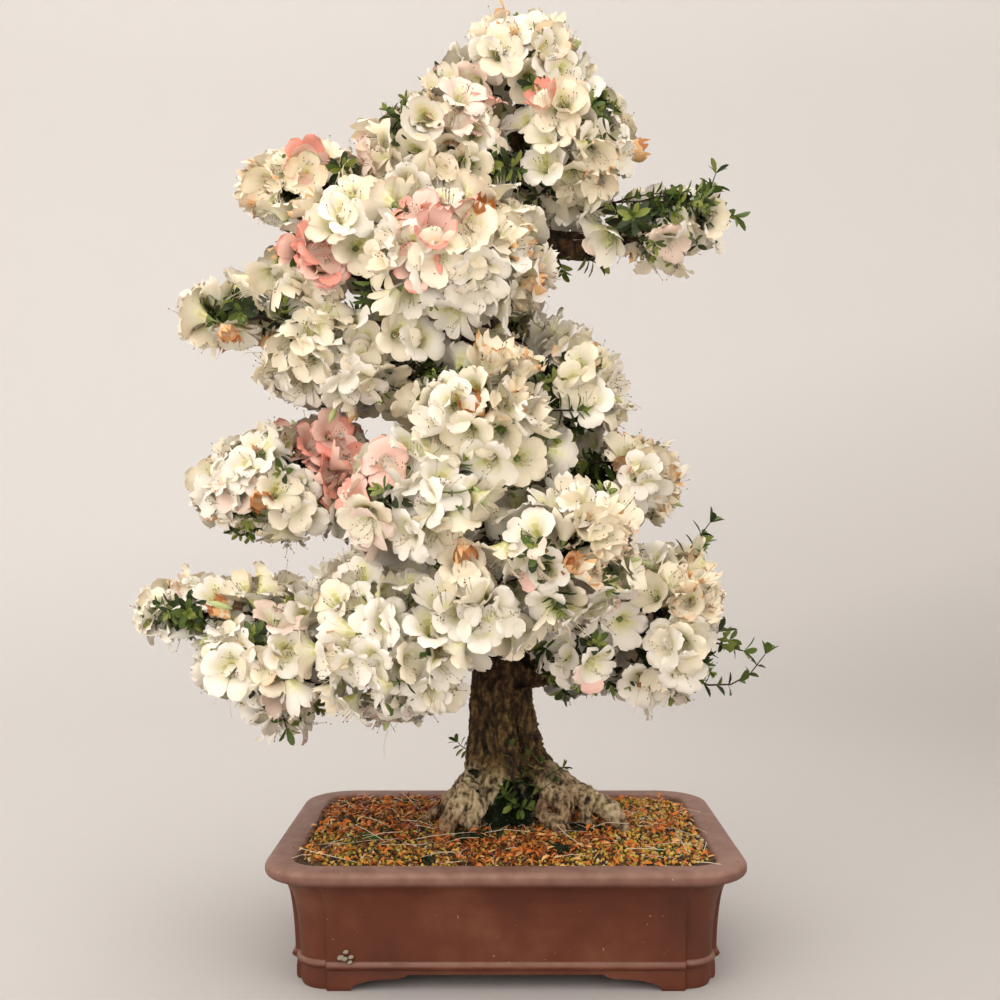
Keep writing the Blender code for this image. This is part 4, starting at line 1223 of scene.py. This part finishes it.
def bark_material():
    """Rough bark: dark brown above, grey and tan on the roots, near-black moss green in their hollows:
    painted shade where the roots close round, real moss on the bank at the front.
    """
    paint = Paint("bark", (0.1, 0.07, 0.05), 0.92)
    fine = paint.noise(300, 6, 0.65)
    shade = paint.work_out("MULTIPLY_ADD", fine, 0.9, paint.layer("relief"))
    shade = paint.work_out("SUBTRACT", shade, 0.45)
    upper = paint.ramp(shade, (0.15, (10, 6, 3)), (0.40, (56, 30, 11)), (0.62, (136, 78, 27)),
                       (0.90, (270, 175, 70)))
    lower = paint.ramp(shade, (0.16, (20, 14, 8)), (0.36, (150, 108, 57)), (0.56, (430, 330, 190)),
                       (0.88, (700, 575, 390)))
    climb = paint.work_out("MULTIPLY_ADD", paint.noise(24, 5), 0.12, paint.parts("Position")["Z"])
    bark = paint.mix(paint.span(climb, 0.222, 0.248), lower, upper)
    hollow = paint.span(paint.layer("hollow"), 0.60, 1.00)
    # Near-black moss green: painted shade in the enclosed hollows, real moss on the front bank
    moss_and_painted_shade = paint.mix(hollow, bark, (0.018, 0.030, 0.006, 1.0))
    tint = paint.ramp(paint.noise(11, 3), (0.36, (600, 480, 420)), (0.50, (950, 930, 900)),
                      (0.64, (1120, 1180, 980)))
    return paint.finish(paint.mix(1.0, moss_and_painted_shade, tint, "MULTIPLY"), fine, 0.9, 0.0022)


def clay_material():
    """Unglazed red-brown clay, lighter and greyer on its lip and where it faces up, with pale specks.
    """
    paint = Paint("clay", (0.15, 0.05, 0.03), 0.58)
    paint.feed(paint.shader, {"Specular IOR Level": 0.3})
    clay_mottle = paint.noise(60, 8)
    body = paint.ramp(paint.noise(14, 6), (0.32, (86, 22, 9)), (0.52, (121, 31, 12.5)),
                      (0.70, (175, 60, 30)))
    top = paint.ramp(clay_mottle, (0.36, (215, 110, 80)), (0.64, (280, 155, 120)))
    specks = paint.ramp(paint.noise(330, 1), (0.790, (0, 0, 0)), (0.815, (1000, 1000, 1000)))
    # The lip and the faces that look up take the lighter, greyer top colour
    lip = paint.span(paint.parts("Position")["Z"], 0.106, 0.116, 0.64)
    upward = paint.span(paint.parts("Normal")["Z"], 0.15, 0.9)
    lighter_lip_and_top = paint.work_out("ADD", lip, upward, clamp=True)
    clay = paint.mix(specks, paint.mix(lighter_lip_and_top, body, top), (0.52, 0.42, 0.36, 1.0))
    return paint.finish(clay, clay_mottle, 0.25, 0.0005)


def soil_material():
    """Damp brown soil, mottled."""
    paint = Paint("soil", (0.1, 0.05, 0.02), 0.95)
    return paint.finish(paint.ramp(
        paint.noise(130, 6), (0.30, (12, 10, 4)), (0.48, (45, 28, 10)), (0.60, (110, 55, 15)),
        (0.75, (190, 110, 28))))


def backdrop_material():
    """Pale warm grey with painted shade: darker down on the floor and to the right, lighter up the
    wall on the left.
    """
    paint = Paint("backdrop", (0.7, 0.68, 0.65), 0.95)
    place = paint.parts("Position")
    # Painted shade: the backdrop darkens towards the floor and to the right
    climb = paint.work_out("MULTIPLY_ADD", place["X"], -0.28, place["Z"])
    return paint.finish(paint.ramp(
        paint.span(climb, -0.5, 3.0), (0.0, (325, 305, 290)), (0.12, (480, 455, 440)),
        (0.35, (580, 557, 545)), (1.0, (640, 617, 602))))


def softened(line, steps):
    """Points with radii along a smooth curve through the points of a line."""
    line = [Vector(point) for point in line]
    curve = []
    for number in range(len(line) - 1):
        before, start = line[max(number - 1, 0)], line[number]
        end, after = line[number + 1], line[min(number + 2, len(line) - 1)]
        for step in range(steps):
            share = step / steps
            curve.append(0.5 * (2 * start + (end - before) * share
                                + (2 * before - 5 * start + 4 * end - after) * share * share
                                + (3 * start - before - 3 * end + after) * share ** 3))
    return curve + [line[-1]]


def limb_mesh(line):
    """Closed tube along points that each carry a radius, as a mesh about the pot's middle."""
    points, faces = tube([point[:3] for point in line], [point[3] for point in line], LIMB_SIDES)
    mesh = bpy.data.meshes.new("limb")
    mesh.from_pydata((points + np.array(HOME)).tolist(), [], faces.tolist())
    return mesh


def trunk_skin():
    """Trunk, roots and stub grown together, before its relief."""
    core = []
    for step in range(CORE_STEPS + 1):
        height = TRUNK_FOOT - BURIED + (TRUNK_TIP - TRUNK_FOOT + BURIED) * step / CORE_STEPS
        flare = FLARE * (1 - smooth_step(*FLARE_TOP, height))
        above = max(height, TRUNK_FOOT)
        core.append((*trunk_middle(above).xy, height, trunk_radius(above) + flare))
    lines = [core, *[softened(line, LIMB_STEPS) for line in (STUB, *ROOTS)]]
    return remeshed("bark_trunk", [limb_mesh(line) for line in lines], BARK_VOXEL)


def in_moss_bank(across, height):
    """Whether moss covers the trunk's front at a place between its roots."""
    width = MOSS_WIDTH * (1 - smooth_step(*MOSS_NARROWS, height))
    return height < MOSS_TOP and abs(across - MOSS_ACROSS) < width


def skin_tree(mesh):
    """A mesh's faces, ready for rays to be sent at them."""
    return BVHTree.FromPolygons([vert.co for vert in mesh.vertices],
                                [face.vertices for face in mesh.polygons])


def keep_hollows(mesh):
    """Keeps how deep each point of the foot lies in a hollow between roots as a layer, which the bark
    turns into painted shade; the moss bank at the front counts in full.
    """
    tree = skin_tree(mesh)
    around = [Vector((math.cos(turn), math.sin(turn), rise)).normalized()
              for turn in np.arange(0, 2 * math.pi, math.pi / 4) for rise in (0.15, 0.9)]
    depths = []
    for vert in mesh.vertices:
        share = 0.0
        if vert.co.z < HOLLOWS_END[1]:
            start = vert.co + vert.normal * 0.001
            ways = [way for way in around if way.dot(vert.normal) > 0.15]
            # The more rays a nearby root stops, the deeper the painted shade
            hits = sum(tree.ray_cast(start, way, HOLLOW_REACH)[0] is not None for way in ways)
            share = min(1.0, hits / max(1, len(ways)) * 1.6)
            share *= 1 - smooth_step(*HOLLOWS_END, vert.co.z)
            if vert.normal.y < 0 and in_moss_bank(vert.co.x - HOME.x, vert.co.z):
                share = 1.0
        depths.append(share)
    keep_layer(mesh, "hollow", depths)


def build_limbs():
    """Trunk and boughs with the relief of their bark."""
    material = bark_material()
    trunk_mesh = trunk_skin()
    relief(trunk_mesh, 3)
    keep_hollows(trunk_mesh)
    dress(trunk_mesh, material)
    trunk = link("bark_trunk", trunk_mesh, "bark")
    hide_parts("trunk")
    names = ["bough_" + mass.name for mass in MASSES[:-1]]
    limbs = [limb_mesh(softened(BARE_LIMB, LIMB_STEPS)),
             *[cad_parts[name].data for name in names]]
    bough_mesh = remeshed("bark_boughs", limbs, BOUGH_VOXEL)
    relief(bough_mesh, 2)
    dress(bough_mesh, material)
    boughs = link("bark_boughs", bough_mesh, "bark")
    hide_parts(*names)


def pot_ring(height, inset, groove):
    """Ring of the pot: a rectangle with rounded corners, each in a shallow groove."""
    half_width, half_depth = RIM_WIDTH / 2 - inset, RIM_DEPTH / 2 - inset
    radius = max(RIM_CORNER - inset, LEAST_CORNER)
    step = GROOVE * groove
    run = PLAIN_LENGTH + (GROOVE_LENGTH - PLAIN_LENGTH) * groove
    side = []
    for count in range(GROOVE_STEPS):
        share = count / GROOVE_STEPS
        ease = (1 - math.cos(math.pi * share)) / 2
        side.append((-step * ease, -radius - run + (run - step) * share))
    corner = [(half_width + x, half_depth + y) for x, y in side]
    for count in range(CORNER_STEPS + 1):
        turn = math.pi / 2 * count / CORNER_STEPS
        corner.append((half_width - radius - step + radius * math.cos(turn),
                       half_depth - radius - step + radius * math.sin(turn)))
    corner += [(half_width + y, half_depth + x) for x, y in reversed(side)]
    upper = corner + [(-x, y) for x, y in reversed(corner)]
    return [Vector((x, y, height)) + HOME for x, y in upper + [(-x, -y) for x, y in upper]]


def lofted(name, rings):
    """Closed mesh through rings, with a flat face at each end."""
    shape = bmesh.new()
    rows = [[shape.verts.new(point) for point in ring] for ring in rings]
    for low, high in zip(rows, rows[1:]):
        for side in range(len(low)):
            after = (side + 1) % len(low)
            shape.faces.new((low[side], low[after], high[after], high[side]))
    shape.faces.new(list(reversed(rows[0])))
    shape.faces.new(rows[-1])
    bmesh.ops.recalc_face_normals(shape, faces=shape.faces)
    return mesh_of(shape, name)


def arch_mesh(along, half_span):
    """Solid that cuts the arch between two feet, along the long side or the short one."""
    side = [(ARCH_HALVES[place][along] - inward / 1000, height / 1000 * ARCH_RISE[along])
            for place, inward, height in ARCH_SIDE]
    outline = side + [(-x, z) for x, z in reversed(side)]
    return lofted("arch", [
        [Vector((away, x, z) if along else (x, away, z)) + HOME for x, z in outline]
        for away in (-half_span, half_span)])


def cut_away(piece, cutters):
    """Takes solids away from a piece's mesh."""
    carriers = [place_object("cutter", mesh) for mesh in cutters]
    for carrier in carriers:
        cut = piece.modifiers.new("cut", "BOOLEAN")
        cut.operation, cut.object, cut.solver = "DIFFERENCE", carrier, "EXACT"
    result = applied(piece)
    piece.modifiers.clear()
    piece.data = result
    for carrier in carriers:
        bpy.data.objects.remove(carrier)


def build_pot():
    """The pot with a smooth lip, grooved corners, a bead and cloud feet."""
    profile = [*softened(POT_OUTSIDE, PROFILE_STEPS), *softened(POT_LIP, PROFILE_STEPS), POT_FLOOR]
    pot = link("clay_pot", lofted("clay_pot", [pot_ring(*row) for row in profile]), "clay")
    cut_away(pot, [arch_mesh(0, RIM_DEPTH), arch_mesh(1, RIM_WIDTH)])
    dress(pot.data, clay_material())
    pot.data.set_sharp_from_angle(angle=SHARP_ANGLE)
    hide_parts("pot")


def soil_height(across, back):
    """Height of the soil at a place."""
    inward = 1 - max(abs(across) / SOIL_WIDE, abs(back) / SOIL_DEEP)
    lumps = 0.0022 * noise.noise(Vector((across, back, 0.3)) * 38)
    lumps += 0.0009 * noise.noise(Vector((across, back, 0.7)) * 130)
    rise = smooth_step(0.0, 0.30, inward)
    return SOIL_EDGE + (SOIL_TOP - SOIL_EDGE) * rise + lumps * min(1.0, 6 * inward)


def build_soil():
    """Uneven ground that fills the pot to its edge."""
    edge = [point - HOME for point in pot_ring(SOIL_EDGE, SOIL_EDGE_INSET, 0)]
    dense = []
    for start, end in zip(edge, edge[1:] + edge[:1]):
        pieces = max(1, round((end - start).length / SOIL_PIECE))
        dense += [start.lerp(end, step / pieces) for step in range(pieces)]
    rings = [[Vector((point.x, point.y, SOIL_EDGE - SOIL_THICKNESS)) + HOME for point in dense]]
    for ring in range(SOIL_RINGS):
        share = 1 - ring / SOIL_RINGS
        spots = [(point.x * share, point.y * share) for point in dense]
        rings.append([Vector((*spot, soil_height(*spot))) + HOME for spot in spots])
    ground = link("ground", lofted("ground", rings), "soil")
    dress(ground.data, soil_material())
    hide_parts("soil")


def ground_kind(place):
    """What covers the soil at a place."""
    across, back = place.x, place.y
    for ground in GROUND:
        uneven = 1 + 0.5 * noise.noise(Vector((across, back, 0)) * 90)
        if math.hypot(across - ground.across, back - ground.back) < ground.radius * uneven:
            return ground.kind
    return "dried" if noise.noise(Vector((across, back, 0.5)) * 22) > -0.02 else "grain"


def ground_places(chance):
    """Endless places on the soil."""
    while True:
        across, back = chance.uniform(-1, 1), chance.uniform(-1, 1)
        if across ** 8 + back ** 8 < 0.93:
            across, back = across * SOIL_WIDE, back * SOIL_DEEP
            yield Vector((across, back, soil_height(across, back)))


def random_way(chance, rise):
    """A direction round the compass with a given rise."""
    turn = chance.uniform(0, 2 * math.pi)
    return Vector((math.cos(turn), math.sin(turn), rise)).normalized()


def dried_petal(chance, length):
    """Points and triangles of a curled dry petal along +X."""
    width, curl = length * chance.uniform(0.20, 0.34), length * chance.uniform(0.1, 0.4)
    points = [(0, 0, 0)]
    for along, share in ((0.4, 1.0), (0.75, 0.8)):
        away, aside, rise = along * length, share * width / 2, curl * math.sin(math.pi * along)
        points += [(away, aside, rise), (away, -aside, rise * 0.6)]
    points.append((length, 0, curl * 0.2))
    return np.array(points), np.array([(0, 2, 1), (1, 2, 4), (1, 4, 3), (3, 4, 5)])


def blade(place, way, tip, slot):
    """A blade of moss: its points, its one triangle and its slot."""
    return np.array([place - way, place + way, tip]), np.array([(0, 1, 2)]), slot


def strew_grains(chance, places, grains):
    """Grains where no petals or moss hide the soil, dark ones where moss does."""
    for _ in range(GRAINS):
        place = next(places)
        kind = ground_kind(place)
        if kind == "dried" and chance.random() < GRAINS_OMITTED:
            continue
        size = chance.uniform(*GRAIN_SIZE)
        stretch = np.array([chance.uniform(0.7, 1.3) for axis in range(3)])
        points = placed(OCTAHEDRON * stretch, turned(random_way(chance, chance.uniform(-1, 1))),
                        place + Vector((0, 0, size * 0.5)), size)
        slot = DARK_GRAIN
        if not kind.startswith("moss"):
            weights = RIGHT_GRAINS if place.x > GRAIN_SPLIT else LEFT_GRAINS
            slot = chance.choices(range(len(weights)), weights)[0]
        grains.add(points, OCTAHEDRON_FACES, slot)


def strew_petals(chance, places, dried):
    """Dried petals, thick on the soil's bare parts and thin on grains and moss."""
    for _ in range(DRIED_PETALS):
        place = next(places)
        kind = ground_kind(place)
        if kind != "dried" and chance.random() < PETALS_OMITTED[kind]:
            continue
        points, faces = dried_petal(chance, chance.uniform(*DRIED_SIZE))
        rotation = turned(random_way(chance, 2.2), chance.uniform(0, 6.3))
        lift = chance.uniform(*DRIED_LIFT)
        weights = RIGHT_PETALS if place.x > 0 else LEFT_PETALS
        dried.add(placed(points, rotation, place + Vector((0, 0, lift))), faces,
                  chance.choices(range(len(weights)), weights)[0])


def strew_moss(chance, places, moss):
    """Blades of moss in its patches."""
    blades = 0
    while blades < MOSS_BLADES:
        place = next(places)
        kind = ground_kind(place)
        if not kind.startswith("moss"):
            continue
        tip = place + random_way(chance, 1.3) * chance.uniform(*BLADE_LENGTH)
        way = random_way(chance, 0) * 0.0009
        moss.add(*blade(place, way, tip, int(kind == "moss_bright" or chance.random() < 0.12)))
        blades += 1


def strew_straws(chance, places, straws):
    """Thin straws that lie on the soil, and the few on the rim."""
    for _ in range(STRAWS):
        start = next(places) + Vector((0, 0, 0.003))
        run = random_way(chance, chance.uniform(0, 0.25)) * chance.uniform(*STRAW_LENGTH)
        sway = Vector((chance.uniform(-0.004, 0.004), chance.uniform(-0.004, 0.004),
                       chance.uniform(0, 0.004)))
        end = start + run
        end.z = max(end.z, soil_height(end.x, end.y) + 0.001)
        if max(abs(end.x) / (RIM_WIDTH / 2), abs(end.y) / (RIM_DEPTH / 2)) < STRAW_REACH:
            straws.add(*open_tube([start, start + run * 0.5 + sway, end],
                                  chance.uniform(*STRAW_RADIUS)))
    for line in RIM_STRAWS:
        straws.add(*open_tube(line, RIM_STRAW))


def build_litter():
    """Grains, dried petals, moss and straws on the soil, and the few bits on the rim."""
    chance = Random("litter")
    grains = Batch("soil_grains", GRAIN_SLOTS, "soil", 0.85)
    dried = Batch("dried_petals", ("dried_orange", "dried_brown", "dried_tan"), "soil", 0.7)
    moss = Batch("moss", MOSS_SLOTS, "foliage", 0.9)
    straws = Batch("straws", ("straw", "dried_tan"), "soil", 0.8)
    places = ground_places(chance)
    strew_grains(chance, places, grains)
    strew_petals(chance, places, dried)
    strew_moss(chance, places, moss)
    strew_straws(chance, places, straws)
    for across, back, turn, length, slot in RIM_BITS:
        points, faces = dried_petal(chance, length)
        rotation = np.array(Matrix.Rotation(turn, 3, "Z"))
        dried.add(placed(points, rotation, (across, back, RIM_TOP)), faces, slot)
    for across, height, size in PEBBLES:
        ends = [Vector((across + size * step, PEBBLE_BACK, height + size * 0.3 * step))
                for step, share in PEBBLE_PROFILE]
        grains.add(*tube(ends, [size * share for step, share in PEBBLE_PROFILE], 8),
                   GRAIN_SLOTS.index("pebble"))
    for batch in (grains, dried, moss, straws):
        batch.build()


def build_moss_bank():
    """Moss in the hollow between the roots at the trunk's front."""
    skin = skin_tree(bpy.data.objects["bark_trunk"].data)
    chance = Random("moss bank")
    moss = Batch("moss_bank", MOSS_SLOTS, "foliage", 0.9)
    for _ in range(MOSS_BANK_BLADES):
        across, height = chance.gauss(MOSS_ACROSS, 0.013), chance.uniform(0.122, MOSS_TOP)
        if not in_moss_bank(across, height):
            continue
        place, normal = skin.ray_cast(Vector((across, -0.2, height)) + HOME, Vector((0, 1, 0)))[:2]
        if place is None:
            continue
        place -= HOME
        way = random_way(chance, 0.4) * 0.0010
        tip = place + (normal + random_way(chance, 0.6)) * chance.uniform(*BANK_BLADE_LENGTH)
        # Most blades take the near-black moss, which paints the shade between the roots
        moss.add(*blade(place, way, tip, int(chance.random() < 0.10)))
    moss.build()


def build_studio():
    """Pale floor that curves up into a round wall."""
    profile = [(FLOOR_RADIUS, 0.0)]
    for step in range(1, BEND_STEPS + 1):
        turn = math.pi / 2 * step / BEND_STEPS
        profile.append((FLOOR_RADIUS + FLOOR_BEND * math.sin(turn),
                        FLOOR_BEND * (1 - math.cos(turn))))
    profile.append((FLOOR_RADIUS + FLOOR_BEND, WALL_TOP))
    turns = [2 * math.pi * side / STUDIO_SIDES for side in range(STUDIO_SIDES)]
    shape = bmesh.new()
    rings = [[shape.verts.new((away * math.cos(turn), away * math.sin(turn), height))
              for turn in turns] for away, height in profile]
    centre = shape.verts.new((0, 0, 0))
    for side in range(STUDIO_SIDES):
        after = (side + 1) % STUDIO_SIDES
        shape.faces.new((centre, rings[0][side], rings[0][after]))
        for low, high in zip(rings, rings[1:]):
            shape.faces.new((low[side], high[side], high[after], low[after]))
    mesh = mesh_of(shape, "studio")
    dress(mesh, backdrop_material())
    floor = place_object("studio", mesh)


def build_lights():
    """Soft daylight from all around and four soft lamps."""
    world = bpy.data.worlds.new("daylight")
    world.use_nodes = True
    background = world.node_tree.nodes["Background"]
    background.inputs["Color"].default_value = (1.0, 0.975, 0.93, 1.0)
    background.inputs["Strength"].default_value = 2.0
    bpy.context.scene.world = world
    for name, (place, power) in LAMPS.items():
        light = bpy.data.lights.new(name, "POINT")
        light.energy, light.shadow_soft_size, light.color = power, LAMP_SIZE, LAMP_COLOR
        place_object(name, light).location = HOME + Vector(place)


def build_camera():
    """The camera that took the photograph."""
    camera = bpy.data.cameras.new("camera")
    camera.sensor_width = SENSOR
    camera.lens = SENSOR * FOCAL / PHOTO_SIZE
    camera.shift_x = (PHOTO_SIZE / 2 - PHOTO_MIDDLE[0]) / PHOTO_SIZE
    camera.shift_y = (PHOTO_MIDDLE[1] - PHOTO_SIZE / 2) / PHOTO_SIZE
    viewer = place_object("camera", camera)
    viewer.location = HOME + Vector((0, -CAMERA_AWAY, CAMERA_HEIGHT))
    viewer.rotation_euler = (math.pi / 2, 0, 0)
    bpy.context.scene.camera = viewer
    bpy.context.scene.view_settings.view_transform = "Standard"


build_studio()
build_lights()
build_camera()
build_crown()
build_limbs()
build_pot()
build_soil()
build_litter()
build_moss_bank()
